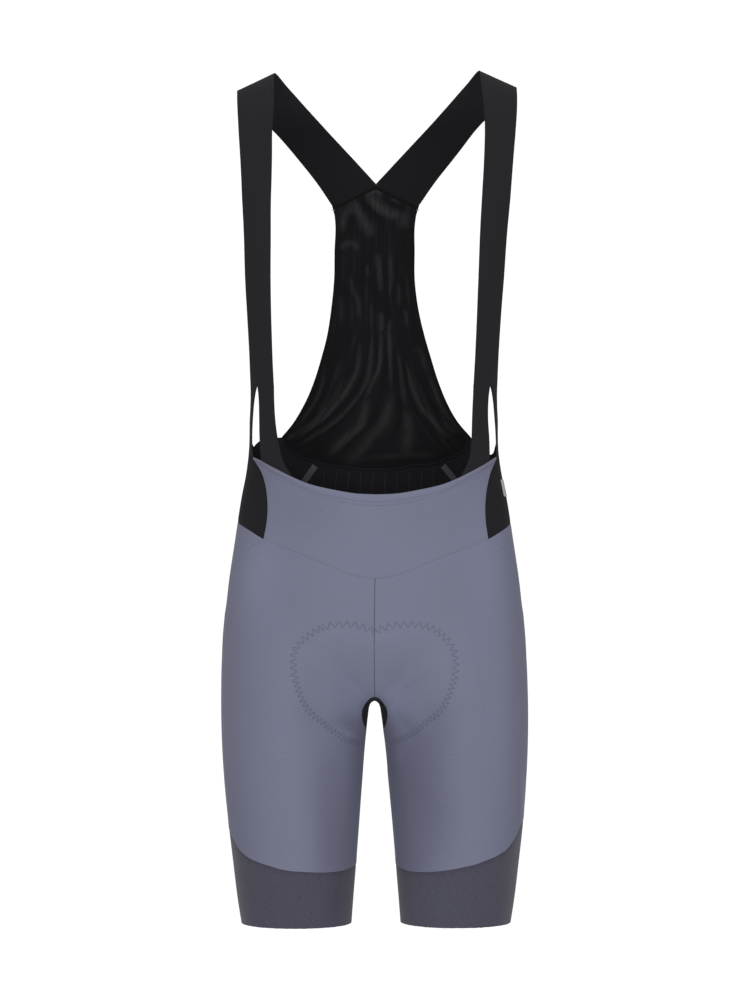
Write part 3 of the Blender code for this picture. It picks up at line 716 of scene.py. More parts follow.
def stitchTree():  # short stitches laid one after another along a path
    tree, given = startTree("stitchRow", "Pitch", "Length", "Lift", "Thickness", "Turn", "Snap")
    curve, away, tangent = pathAlong(tree, given, given["Pitch"])
    points = laidOn(tree, curve, given, away)
    beadShape = {"Segments": threadShape["sides"], "Rings": threadShape["beadRings"], "Radius": 1.0}
    bead = output(tree, "GeometryNodeMeshUVSphere", beadShape)
    thick = given["Thickness"]
    size = output(tree, "ShaderNodeCombineXYZ", {0: times(tree, given["Length"], 0.5), 1: thick, 2: thick})
    align = "FunctionNodeAlignRotationToVector"
    upright = output(tree, align, {"Vector": away}, axis="Z")
    lying = output(tree, align, {"Rotation": upright, "Vector": tangent}, axis="X", pivot_axis="Z")
    turn = output(tree, "FunctionNodeAxisAngleToRotation", {"Axis": (0, 0, 1), "Angle": given["Turn"]})
    rotations = {"Rotation": lying, "Rotate By": turn}
    turned = output(tree, "FunctionNodeRotateRotation", rotations, rotation_space="LOCAL")
    inputs = {"Points": points, "Instance": bead, "Rotation": turned, "Scale": size}
    return closeTree(tree, output(tree, "GeometryNodeInstanceOnPoints", inputs), given)


laidThread, stitchRow = threadTree(), stitchTree()


def sewn(name, paths, tree, values):  # runs a tree along paths of points, which carry the way off the cloth
    points, edges, ways = [], [], []
    for path, way in paths:
        edges += [(len(points) + i, len(points) + i + 1) for i in range(len(path) - 1)]
        points += (lean(path) * mm).tolist()
        ways += way.tolist()
    mesh = bpy.data.meshes.new(name)
    mesh.from_pydata(points, edges, [])
    mesh.attributes.new("away", "FLOAT_VECTOR", "POINT").data.foreach_set("vector", np.ravel(ways))
    piece = placed(name, mesh)
    run = piece.modifiers.new("run", "NODES")
    run.node_group = tree
    for item in tree.interface.items_tree:
        if item.item_type == "SOCKET" and item.in_out == "INPUT" and item.name in values:
            run[item.identifier] = values[item.name]
    pieces[name] = baked(piece)


# Creases in the worn cloth: where they run (angle and height round a leg or the body), width and depth
creases = {
    # wearer's side, path, width, depth
    "leg": [
        (1, [(-52, -676), (-40, -690), (-28, -712)], 6, -0.9),
        (-1, [(-52, -678), (-38, -688), (-22, -700)], 7, -1.0),
        (1, [(-40, -672), (-24, -690), (-12, -722)], 9, 0.7),
        (1, [(-62, -722), (-58, -770), (-54, -835)], 10, -0.8),
        (-1, [(-64, -720), (-60, -765), (-58, -830)], 10, -0.6),
        (1, [(-97, -708), (-96.5, -722), (-95.5, -748)], 11, -1.3),
        (1, [(58, -700), (66, -740), (62, -800)], 7, 0.6),
        (-1, [(62, -690), (70, -735), (66, -790)], 8, 0.5),
        (1, [(118, -660), (140, -690), (170, -700)], 9, -0.9),
        (-1, [(115, -668), (138, -694), (166, -706)], 9, -0.9),
        (1, [(180, -690), (214, -704), (246, -712)], 8, -1.3),
        (-1, [(176, -694), (210, -708), (244, -716)], 8, -1.3),
        (1, [(186, -712), (220, -728), (250, -738)], 8, -1.0),
        (-1, [(190, -718), (222, -732), (252, -740)], 8, -1.1),
        (1, [(130, -730), (160, -748), (200, -752)], 9, -0.7),
        (-1, [(134, -736), (166, -752), (204, -760)], 9, -0.6),
    ],
    "body": [
        (1, [(6, -548), (14, -575), (20, -600)], 9, -0.4),
        (-1, [(8, -552), (17, -580), (26, -606)], 8, -0.4),
        (1, [(24, -452), (27, -462), (25, -474)], 5, -0.45),
        (-1, [(22, -455), (26, -468), (24, -480)], 5, -0.45),
        (1, [(64, -532), (52, -552), (40, -566)], 8, -0.5),
        (-1, [(66, -530), (56, -548), (42, -560)], 8, -0.5),
        (1, [(168, -560), (156, -590), (140, -610)], 10, -0.7),
        (-1, [(166, -566), (154, -596), (138, -618)], 10, -0.7),
        (1, [(108, -470), (118, -500), (132, -520)], 8, -0.6),
        (-1, [(110, -472), (121, -502), (136, -524)], 8, -0.6),
        (1, [(96, -430), (104, -440), (114, -444)], 6, -0.5),
        (-1, [(92, -428), (102, -438), (112, -444)], 6, -0.5),
    ],
}


def creased(points):
    total = np.zeros(points.shape[:-1])
    for part, rows in creases.items():
        for side, path, width, depth in rows:
            angle, height = curved(path, 14).T
            line = onFigure(angle, height, figure["legAxis"] if part == "leg" else 0) * (side, 1, 1)
            away, share = nearPath(points, line)
            total += depth * bell(away, width) * (1 - (2 * share - 1) ** 2) ** 0.7
    return total


# Painted light and shade on the front, as soft lighter and darker places: x, height, across, tall, how much
shades = [
    (0, -662, 36, 22, 0.33), (-16, -676, 12, 16, 0.25), (17, -678, 13, 18, 0.38), (40, -684, 14, 12, 0.06),
    (-29, -703, 8, 4, 0.12), (-130, -519, 26, 62, 0.17), (-118, -540, 24, 50, 0.05),
    (118, -518, 24, 68, 0.15), (-152, -657, 22, 120, 0.08), (134, -645, 16, 140, 0.10),
    (-70, -668, 14, 45, -0.09), (-52, -772, 20, 70, -0.17), (46, -740, 26, 55, -0.21),
    (53, -806, 26, 50, -0.14), (74, -778, 20, 55, -0.08), (69, -690, 20, 40, -0.12),
    (-68, -465, 40, 30, -0.08), (43, -465, 30, 30, -0.05), (158, -775, 4, 36, 0.2),
    (153, -775, 3, 40, -0.09), (-46, -838, 20, 40, -0.13), (44, -846, 20, 30, -0.08),
    (-27, -692, 9, 9, -0.15), (24, -700, 9, 10, 0.07), (12, -666, 23, 12, 0.13), (27, -724, 5, 16, 0.1),
]
# Painted light and shade on the leg bands, in the same columns
bandShades = [(-42, -880, 13, 40, -0.1), (60, -885, 30, 40, 0.08), (36, -880, 10, 40, 0.05),
              (152, -830, 5, 25, 0.12), (-153, -838, 5, 22, 0.12)]


def shaded(points, table=shades):
    x, y, z = np.moveaxis(points, -1, 0)
    spots = (amount * bell(x - px, wide) * bell(z - pz, tall) for px, pz, wide, tall, amount in table)
    return sum(spots) * softStep((20 - y) / 30)


def seamDip(grid, edges, width=1.6, depth=0.45):  # the cloth turns down a little to its seams
    return -depth * bell(edgeDistance(grid, edges), width)


# Chamois pad inside the shorts. Only its zigzag stitching and its raised edge show.
pad = {
    # x and height on the front, then on the back, down to the inner legs
    "front": [(0.4, -592.6), (-16, -587), (-37.1, -585.3), (-52, -588), (-63.3, -593.7), (-76.4, -603.7),
              (-84, -614), (-85.1, -629.5), (-80.7, -653.7), (-70.1, -675.8), (-54.3, -690.6),
              (-37.5, -704.3), (-27, -711), (-17, -715)],
    "frontLeft": [(0.4, -592.6), (18, -587), (37.1, -585.3), (52, -587.5), (63.3, -590.5), (74, -599),
                  (82.9, -610.2), (86.2, -629.5), (80.5, -655.8), (72, -673.7), (54.1, -690.6),
                  (37.3, -703.2), (27, -709.5), (17, -714)],
    "back": [(0, -560), (24, -548), (50, -550), (72, -566), (84, -594), (86, -630), (78, -664), (60, -692),
             (38, -712)],
    "raise": 1.0, "soft": 12, "groove": 0.4, "grooveWidth": 2.6, "swing": 7.4, "thread": 0.27, "sunk": 0.05,
    # its relief fades out down to the lowest point, and round the crotch
    "past": 20, "lowest": -716, "lowFade": 40, "crotch": -688, "crotchReach": 15, "crotchFade": 18,
    # zones of the zigzag on the front, from the notch down: name, first and last share of the line, spacing
    "zones": [("Top", 0, 0.25, 4.0), ("Side", 0.25, 0.55, 3.4), ("Low", 0.55, 1, 2.7)], "backSpacing": 3.2,
}


def padRelief(points):
    x, y, z = np.moveaxis(points, -1, 0)
    right, left, back = curved(pad["front"], 70), curved(pad["frontLeft"], 70), curved(pad["back"], 60)
    fade = softStep((z - pad["lowest"]) / pad["lowFade"])
    fade *= softStep((np.hypot(x, z - pad["crotch"]) - pad["crotchReach"]) / pad["crotchFade"])
    relief = np.zeros(x.shape)
    for outline, other, way in ((left, right, -1), (back, back * (-1, 1), 1)):
        loop = np.concatenate([outline, other[::-1]])
        near, _ = nearPath(points[..., [0, 2]], loop)
        raised = np.where(insideLoop(x, z, loop), softStep(near / pad["soft"]), 0) * pad["raise"]
        groove = pad["groove"] * bell(near, pad["grooveWidth"])
        relief += np.where((y * way > -pad["past"]) & (z > pad["lowest"]), (raised - groove) * fade, 0)
    return relief


walls = {"yoke": 0.85, "knit": 1.0, "strap": 1.1, "mesh": 0.8, "binding": 1.2, "tape": 0.7, "film": 0.5}

# Seams, as rows of angle and height round the body's axis
yoke = {
    "top": [(0, -449.9), (12, -448.9), (23.7, -445.4), (39.3, -438.1), (48.4, -430.7), (54.5, -425),
            (59.3, -420.8), (71, -412), (76.9, -409.5)],
    "side": [(76.9, -409.5), (69, -421), (62.8, -440), (60, -458), (59, -476), (59.5, -495.8)],
    "bottom": [(0, -537.2), (3.5, -536.8), (10.1, -534.6), (16.5, -531), (22.9, -525.8), (40, -511.6),
               (59.5, -495.8)],
    "centre": (-449.9, -537), "hem": 14, "fold": 0.85, "foldTurns": (-60, -20, 20, 60), "columns": 84,
    "rows": 44,
    # lines of stitches below the top edge, the dip at each, and the hem's rise between them
    "stitches": (6.9, 10.8), "dip": 0.3, "dipWidth": 0.9, "rise": 0.12, "riseMiddle": 10, "riseWidth": 2.2,
    # a painted highlight along the folded top edge: how much, how wide
    "paintedEdgeLight": 0.06, "rimWidth": 4,
}
waist = {
    "armhole": {"Left": [(100, -398), (102.5, -402.5), (106, -405), (111, -403.5), (116.5, -396.5),
                         (120.5, -386)],
                "Right": [(100, -398), (103, -393.5), (107, -389.5), (113, -387), (120.5, -386)]},
    "backTop": [(120.5, -386), (124.5, -400), (130, -407.5), (136.5, -411.5), (139.6, -414)],
    "bottom": [(59.5, -495.8), (68.4, -487.6), (78, -481.5), (90, -478), (108, -475), (127.5, -474)],
    "meshBottom": [(139.6, -414), (156, -418), (180, -422)],
    "backBottom": [(127.5, -474), (150, -476.3), (167, -479.2), (180, -480)], "backCentre": (-422, -480),
    # the tapes' line, how far each tape lies off it in degrees, and their top and foot
    "tapeLine": [(139.6, -414), (133.2, -432), (129.6, -452), (127.5, -474)],
    "tapeTurn": {"Left": -1.4, "Right": -0.2}, "tapeEnds": (-417, -470), "tapeWidth": 7, "tapeInside": 1.2,
    "tabAngles": (76, 86), "tabHeights": (-433, -451), "tabOutside": 1.0,
}
upperBack = {
    "side": [(157.6, -137), (158.3, -149), (158.1, -178), (157.5, -211), (155.3, -240), (151.8, -268),
             (145.9, -300), (140.5, -326), (134.3, -350), (127.7, -370), (120.5, -386)],
    "binding": 5.5, "band": 5.5, "taper": 0.965, "crown": 0.35, "columns": 76, "rows": 140,
    # painted shade over the bindings, a painted shadow deepening down the band to the mesh, and painted shade
    # over the whole band
    "shade": -0.6, "bandShade": -0.45, "bandDark": -0.3,
    # how far the mesh runs under its binding, as a share of the binding's width, and how much more at the top
    "under": 0.5, "underTop": 0.36, "underBand": 2.5,
}
legs = {
    "sideSeam": [(59.5, -495.8), (66.3, -502.7), (70.9, -510.3), (76.6, -524), (81.3, -539), (86.5, -560),
                 (90, -590)],
    "lowerSideSeam": [(90, -590), (93, -640), (95, -700), (94, -760)],
    "centreFront": (-537.2, -664.6), "centreBack": (-480, -648),
    "gussetFront": [(-64.5, -664.6), (-67, -669.1), (-64.5, -674.4), (-61.1, -679.7), (-61.3, -684),
                    (-63.5, -689.3), (-68.4, -694.7), (-77, -699.6), (-99, -704)],
    "gussetBack": [(-135.2, -648), (-133, -654), (-129, -662), (-122.5, -673), (-118.5, -684), (-113, -694),
                   (-106, -701), (-99, -704)],
    "gussetPivot": -712, "gussetGap": 0.3,
    "inseam": [(-99, -704), (-95, -760), (-92, -846)],
    "bandFront": {
        "Left": [(-92, -846), (-68, -848.4), (-45, -850.8), (-26, -849.8), (-5, -846.2), (6, -843.2),
                 (14, -841), (22, -837.5), (31, -834), (37, -830.8), (42, -828.4), (48, -823.5),
                 (57, -814.9), (63, -808), (68.5, -802.9), (76, -799.3), (90, -796)],
        "Right": [(-92, -846), (-72, -847.2), (-52, -849.8), (-30, -850.5), (-8, -849), (3, -847.8),
                  (11, -846), (19, -843.2), (29, -840), (40, -836), (47, -832.2), (54, -827.8), (60, -823),
                  (66, -817.8), (72.7, -813.4), (80, -809.5), (90, -806)],
    },
    "bandBack": [(105, -809), (130, -812), (165, -823), (210, -838), (250, -846), (268, -846)],
    # a panel's raw edge over the band, and the painted rim light along its inner edge below the crotch: how
    # much, how wide
    "rawEdge": 0.25, "rawWidth": 7, "paintedEdgeLight": 0.14, "rimWidth": 9, "rimTop": -700, "rimFade": 25,
    "hem": {"Left": -909.5, "Right": -910.2}, "overlap": 8, "sunk": 0.65, "shadow": 0.14, "hemJag": 0.15,
    "seed": 7, "columns": 96, "backColumns": 120, "centreRows": 44, "gussetRows": 26, "inseamRows": 62,
    "hemRows": 36,
}


def sideLimbEnd(count):
    return onFigure(*np.linspace(yoke["top"][-1], waist["armhole"]["Left"][0], count + 1).T)


def waistSeamLine(count):  # from the yoke round to the middle of the back
    return np.concatenate([seamLine(waist["bottom"], count), seamLine(waist["backBottom"], count)[1:]])


def atDepth(grid, depth, wanted):  # the line over a grid's columns at this distance from its top edge
    columns = zip(depth.T, grid.swapaxes(0, 1))
    return np.stack([[np.interp(wanted, run, places) for places in column.T] for run, column in columns])


def makeYoke():
    top, bottom = seamLine(yoke["top"], yoke["columns"]), seamLine(yoke["bottom"], yoke["columns"])
    centre, side = centreLine(*yoke["centre"], yoke["rows"]), seamLine(yoke["side"], yoke["rows"])
    grid = whole(pullIn(panelGrid(top, bottom, centre, side), ("bottom", "right")), "left")
    depth = edgeDistance(grid, ("top",))
    relief = creased(grid) + seamDip(grid, ("bottom", "left", "right"))
    for row in yoke["stitches"]:
        relief -= yoke["dip"] * bell(depth - row, yoke["dipWidth"])
    relief += yoke["rise"] * bell(depth - yoke["riseMiddle"], yoke["riseWidth"])
    normals, _ = gridNormals(grid)
    face = grid + normals * relief[..., None]
    # the top edge is folded in, and its hem lies inside
    fold, up = yoke["fold"], unit(face[0] - face[2])
    inner = [atDepth(face, depth, yoke["hem"] * share) for share in np.linspace(1, 0.08, 7)]
    inner = [row - normals[3] * fold * 2 for row in inner]
    for turn in np.radians(yoke["foldTurns"]):
        inner.append(face[0] + (up * np.cos(turn) + normals[0] * np.sin(turn)) * fold - normals[0] * fold)
    folded = np.concatenate([np.stack(inner), face])
    deep = np.concatenate([np.zeros((len(inner), depth.shape[1])), depth])
    # painted light and shade, with a painted highlight along the folded top edge
    paintedEdgeLight = yoke["paintedEdgeLight"] * bell(deep, yoke["rimWidth"])
    makeCloth("frontYoke", folded, [slateKnit], walls["yoke"], tone=shaded(folded) + paintedEdgeLight)
    # the lines that its hem is sewn along
    return [atDepth(grid[:, 2:-2], depth[:, 2:-2], row) for row in yoke["stitches"]]


def makeWaist():
    side = seamLine(yoke["side"], yoke["rows"])
    backTop = seamLine(waist["backTop"], 30, first=upperBack["binding"])
    tapeLine = seamLine(waist["tapeLine"], yoke["rows"])
    for word, sign in sides:
        top = np.concatenate([sideLimbEnd(14), seamLine(waist["armhole"][word], 22)[1:], backTop[1:]])
        bottom = seamLine(waist["bottom"], len(top) - 1)
        grid = onSide(pullIn(panelGrid(top, bottom, side, tapeLine), around), sign)
        relief = creased(grid) + seamDip(grid, ("bottom", "left", "right"))
        makeCloth("sidePanel" + word, grid, [blackKnit, lining], walls["knit"], relief)
    meshEdge, backBottom = seamLine(waist["meshBottom"], 60), seamLine(waist["backBottom"], 60)
    centre = centreLine(*waist["backCentre"], yoke["rows"], 180.0)
    half = panelGrid(meshEdge, backBottom, tapeLine, centre, turn=0)
    grid = whole(pullIn(half, ("top", "bottom", "left")), "right")
    relief = creased(grid) + seamDip(grid, ("bottom", "left", "right"))
    makeCloth("lowerBack", grid, [blackKnit, lining], walls["knit"], relief)
    return meshEdge, backTop, tapeLine


def bandLines(word):  # where a leg meets its band: the front line, and the back line from its end
    front, back = legs["bandFront"][word], np.array(legs["bandBack"], float)
    back[:, 1] += (front[-1][1] - back[0, 1]) * softStep((150 - back[:, 0]) / 60)
    return front, [front[-1], *back]


def makeLegPanel(name, panel, sign, inner):
    grid = onSide(pullIn(panel, ("top", "left", "right")), sign)
    relief = creased(grid) + padRelief(grid) + seamDip(grid, ("top", "left", "right"))
    relief += legs["rawEdge"] * bell(edgeDistance(grid, ("bottom",)), legs["rawWidth"])
    # a painted rim of light along the inner edge, below the crotch
    paintedEdgeLight = legs["paintedEdgeLight"] * bell(edgeDistance(grid, (inner,)), legs["rimWidth"])
    paintedEdgeLight *= softStep((legs["rimTop"] - grid[..., 2]) / legs["rimFade"])
    makeCloth(name, grid, [slateKnit], walls["knit"], relief, tone=shaded(grid) + paintedEdgeLight)


def makeGripper(word, sign, seam):
    ring = roundAxis(seam, figure["legAxis"], 0)
    angle, top = np.degrees(ring[:, 0]), ring[:, 2]
    drop = np.concatenate([np.linspace(-legs["overlap"], 0, 5)[:-1], np.linspace(0, 1, legs["hemRows"])])
    drop = drop[:, None]
    heights = np.where(drop < 0, top - drop, top * (1 - drop) + legs["hem"][word] * drop)
    jagged = np.random.default_rng(legs["seed"] + sign).normal(0, legs["hemJag"], len(top))
    heights = heights - np.where(drop == 1, np.abs(jagged), 0)
    band = onSide(onFigure(angle + 0 * drop, heights, figure["legAxis"]), sign)
    below = (top - heights)[:, ::sign]
    relief = creased(band) - legs["sunk"] * softStep((5 - below) / 6)
    # painted light and shade on the band, and a painted shadow just under the leg panel's raw edge
    tone = shaded(band, bandShades) - legs["shadow"] * bell(below, 5)
    makeCloth("gripper" + word, band, [gripperElastic], walls["knit"], relief, tone, ring=True)


def makeLegs():
    axis, rows = figure["legAxis"], (legs["centreRows"], legs["gussetRows"], legs["inseamRows"])
    inseam = seamLine(legs["inseam"], rows[2], axis)[1:]
    gussets, edges = [], []
    for end, angle in (("Front", 0.0), ("Back", 180.0)):
        centre = centreLine(*legs["centre" + end], rows[0], angle)
        gusset = seamLine(legs["gusset" + end], rows[1], axis)
        gusset[0] = centre[-1]
        gussets.append(gusset)
        edges.append(np.concatenate([centre, gusset[1:], inseam]))
    yokeSeam, sideSeams = seamLine(yoke["bottom"], legs["columns"]), {}
    for word, sign in sides:
        frontBand, backBand = bandLines(word)
        lower = seamLine(legs["lowerSideSeam"] + [frontBand[-1]], 80, axis)
        side = evenly(np.concatenate([seamLine(legs["sideSeam"], 80), lower[1:]]), sum(rows))
        sideSeams[word] = side
        frontHem = seamLine(frontBand, legs["columns"], axis)
        backHem = seamLine(backBand, legs["backColumns"], axis)
        front = panelGrid(yokeSeam, frontHem, edges[0], side, axis)
        back = panelGrid(waistSeamLine(60), backHem, side, edges[1], axis, turn=0)
        makeLegPanel("legFront" + word, front, sign, "left" if sign > 0 else "right")
        makeLegPanel("legBack" + word, back, sign, "right" if sign > 0 else "left")
        makeGripper(word, sign, np.concatenate([frontHem[:-1], backHem[:-1]]))
    makeGusset(*gussets)
    return sideSeams


def makeGusset(frontEdge, backEdge):
    pivot = legs["gussetPivot"]
    lines = frontEdge, backEdge[::-1] * mirror, frontEdge * mirror, backEdge[::-1]
    edges = [np.stack([line[:, 1], np.arctan2(line[:, 0], line[:, 2] - pivot)], axis=-1) for line in lines]
    depth, angle = np.moveaxis(patch(*edges), -1, 0)

    def placeAt(reach):
        return np.stack([reach * np.sin(angle), depth, pivot + reach * np.cos(angle)], axis=-1)

    grid = ontoFigure(placeAt, np.full_like(angle, 100.0), way=-1)
    grid[0], grid[:, -1], grid[:, 0], grid[-1] = lines[0], lines[3], lines[2], lines[1]
    grid = pullIn(grid, around, legs["gussetGap"])
    ribbed = np.ones(grid.shape[:2])
    makeCloth("crotchGusset", grid, [strapElastic], walls["knit"], creased(grid), ribbed)


strap = {
    # height, inner x, outer x, up the chest
    "front": [(-331, 106.4, 131.8), (-306, 107.6, 132.6), (-263, 109.1, 134.7), (-221, 110.1, 137.3),
              (-178, 110.7, 139.3), (-136, 111.8, 142.2)],
    # inner x y z, outer x y z, over the shoulder to the middle of the back
    "back": [(113, -80.5, -93, 145, -59, -93), (113.5, -71, -60, 147.5, -51, -62),
             (112.3, -55, -31, 149.3, -38, -38), (111, -33, -6, 150.2, -21, -19),
             (110.5, -3, 7, 149.5, 2, -11), (96, 38, -5, 131, 36, -32), (75.2, 68, -26, 107, 65, -54.8),
             (53, 91, -48.5, 87, 87, -77.2), (26.2, 105, -76, 65, 102.5, -104),
             (0.0, 109, -104, 48.4, 109, -127.8)],
    # at each shoulder, how far the neck edge in front and the arm edge behind lie off those rows
    "askew": {"Left": (0.8, -3.3), "Right": (-1.9, 0.8)},
    # height, inner angle, outer angle, how deep inside
    "frontLimb": [(-331, 56.9, 68.6, 0), (-347, 57.5, 68.4, 0.2), (-368, 57.7, 69.4, 0.9),
                  (-388, 57.2, 70.6, 1.7), (-404, 55.8, 70, 2), (-416, 53.2, 67.8, 2), (-428, 49, 63.8, 2),
                  (-440, 45, 59, 2), (-452, 41, 55.5, 2)],
    # front angle and height, rear angle and height
    "sideLimb": [(68.6, -331, 76.3, -331), (72.6, -344, 78.4, -346), (76, -360, 82, -362),
                 (79, -380, 88, -377), (79.2, -396, 94, -389), (76.9, -409.5, 100, -398)],
    "frontRows": 80, "backRows": 150, "limbRows": 50, "columns": (12, 8), "footGap": 0.2,
    # the ribs open above this height, and their lighter crowns paint a highlight on the fold
    "ribsFrom": -55, "ribsOver": 50, "ribs": 0.6,
}


def strapRows(columns, frontRows, backRows, word=None):
    stations = []
    for height, *xs in strap["front"]:
        halfWidth, depth, _, square = formAt(figure["torso"], np.array(float(height)))
        ys = [-depth * (1 - (x / halfWidth) ** square) ** (1 / square) for x in xs]
        stations.append((xs[0], ys[0], height, xs[1], ys[1], height))
    stations = np.array(stations + strap["back"], float)
    along = runAlong((stations[:, :3] + stations[:, 3:]) / 2)
    chest, end = along[len(strap["front"]) - 1], along[-1]
    places = np.concatenate([np.linspace(0, chest, frontRows + 1), np.linspace(chest, end, backRows + 1)[1:]])
    edges = smoothThrough(along, stations, places)
    if word:
        neck, arm = strap["askew"][word]
        edges[:, 0] += neck * softStep((edges[:, 2] + 160) / 80) * softStep((-30 - edges[:, 1]) / 35)
        edges[:, 3] += arm * bell(edges[:, 5] + 40, 22) * softStep((edges[:, 4] - 8) / 20)
    across = np.linspace(0, 1, columns + 1)[None, :, None]
    rows = edges[:, None, :3] * (1 - across) + edges[:, None, 3:] * across
    # it lies on the figure up to the chest and at its end
    hold = np.maximum(softStep((chest + 25 - places) / 30), softStep((places - end + 20) / 18))[:, None, None]
    return rows * (1 - hold) + settle(rows) * hold


def strapEnd():  # its line on the back, from the middle outwards
    return strapRows(20, 40, 60)[-1, ::-1]


def limbTable(name):
    table = np.array(strap[name], float)
    share = np.linspace(0, 1, strap["limbRows"] + 1)
    return smoothThrough(np.linspace(0, 1, len(table)), table, share).T[..., None]


def limbRows():
    height, inner, outer, inset = limbTable("frontLimb")
    across = np.linspace(0, 1, strap["columns"][0] + 1)
    front = onFigure(inner + (outer - inner) * across, height + 0 * across)
    front = front - outward(front) * inset[..., None]
    angle, height, rearAngle, rearHeight = limbTable("sideLimb")
    across = np.linspace(0, 1, strap["columns"][1] + 1)
    rear = onFigure(angle + (rearAngle - angle) * across, height + (rearHeight - height) * across)
    return front, pullIn(rear, ("bottom",), strap["footGap"])


def makeStraps():
    front, rear = limbRows()
    split, columns = strap["columns"][0], sum(strap["columns"])
    for word, sign in sides:
        upper = pullIn(strapRows(columns, strap["frontRows"], strap["backRows"], word), ("bottom",))
        front[0], rear[0] = upper[0, :split + 1], upper[0, split:]
        width = np.linalg.norm(upper[0, -1] - upper[0, 0]) / columns
        points, cells, flat = [], [], []
        # each part with its first column, and 1 for the part whose last row is the fork
        for grid, first, above in ((upper[::-1], 0, 1), (front, 0, 0), (rear, split, 0)):
            start, wide = sum(map(len, points)), grid.shape[1]
            corners = cellCorners(len(grid) - 1, wide - 1)
            run = runAlong(grid.mean(axis=1))
            run = run - run[-1] * above
            cells.append(np.stack([start + r * wide + c for r, c in corners], axis=1))
            places = [np.stack([(c + first) * width, -run[r]], axis=-1) for r, c in corners]
            flat.append(np.stack(places, axis=1) * mm)
            points.append(grid.reshape(-1, 3))
        points, cells, flat = np.concatenate(points), np.concatenate(cells), np.concatenate(flat)
        ribbed = softStep((points[:, 2] - strap["ribsFrom"]) / strap["ribsOver"]) * strap["ribs"]
        if sign < 0:
            points, cells, flat = points * mirror, cells[:, ::-1], flat[:, ::-1]
        # the three parts share the points of the line where they meet
        _, kept, number = np.unique(np.round(points, 3), axis=0, return_index=True, return_inverse=True)
        cells, looks = number.ravel()[cells], [strapElastic, strapLining]
        clothFrom("strap" + word, points[kept], cells, flat, looks, walls["strap"], ribbed[kept])


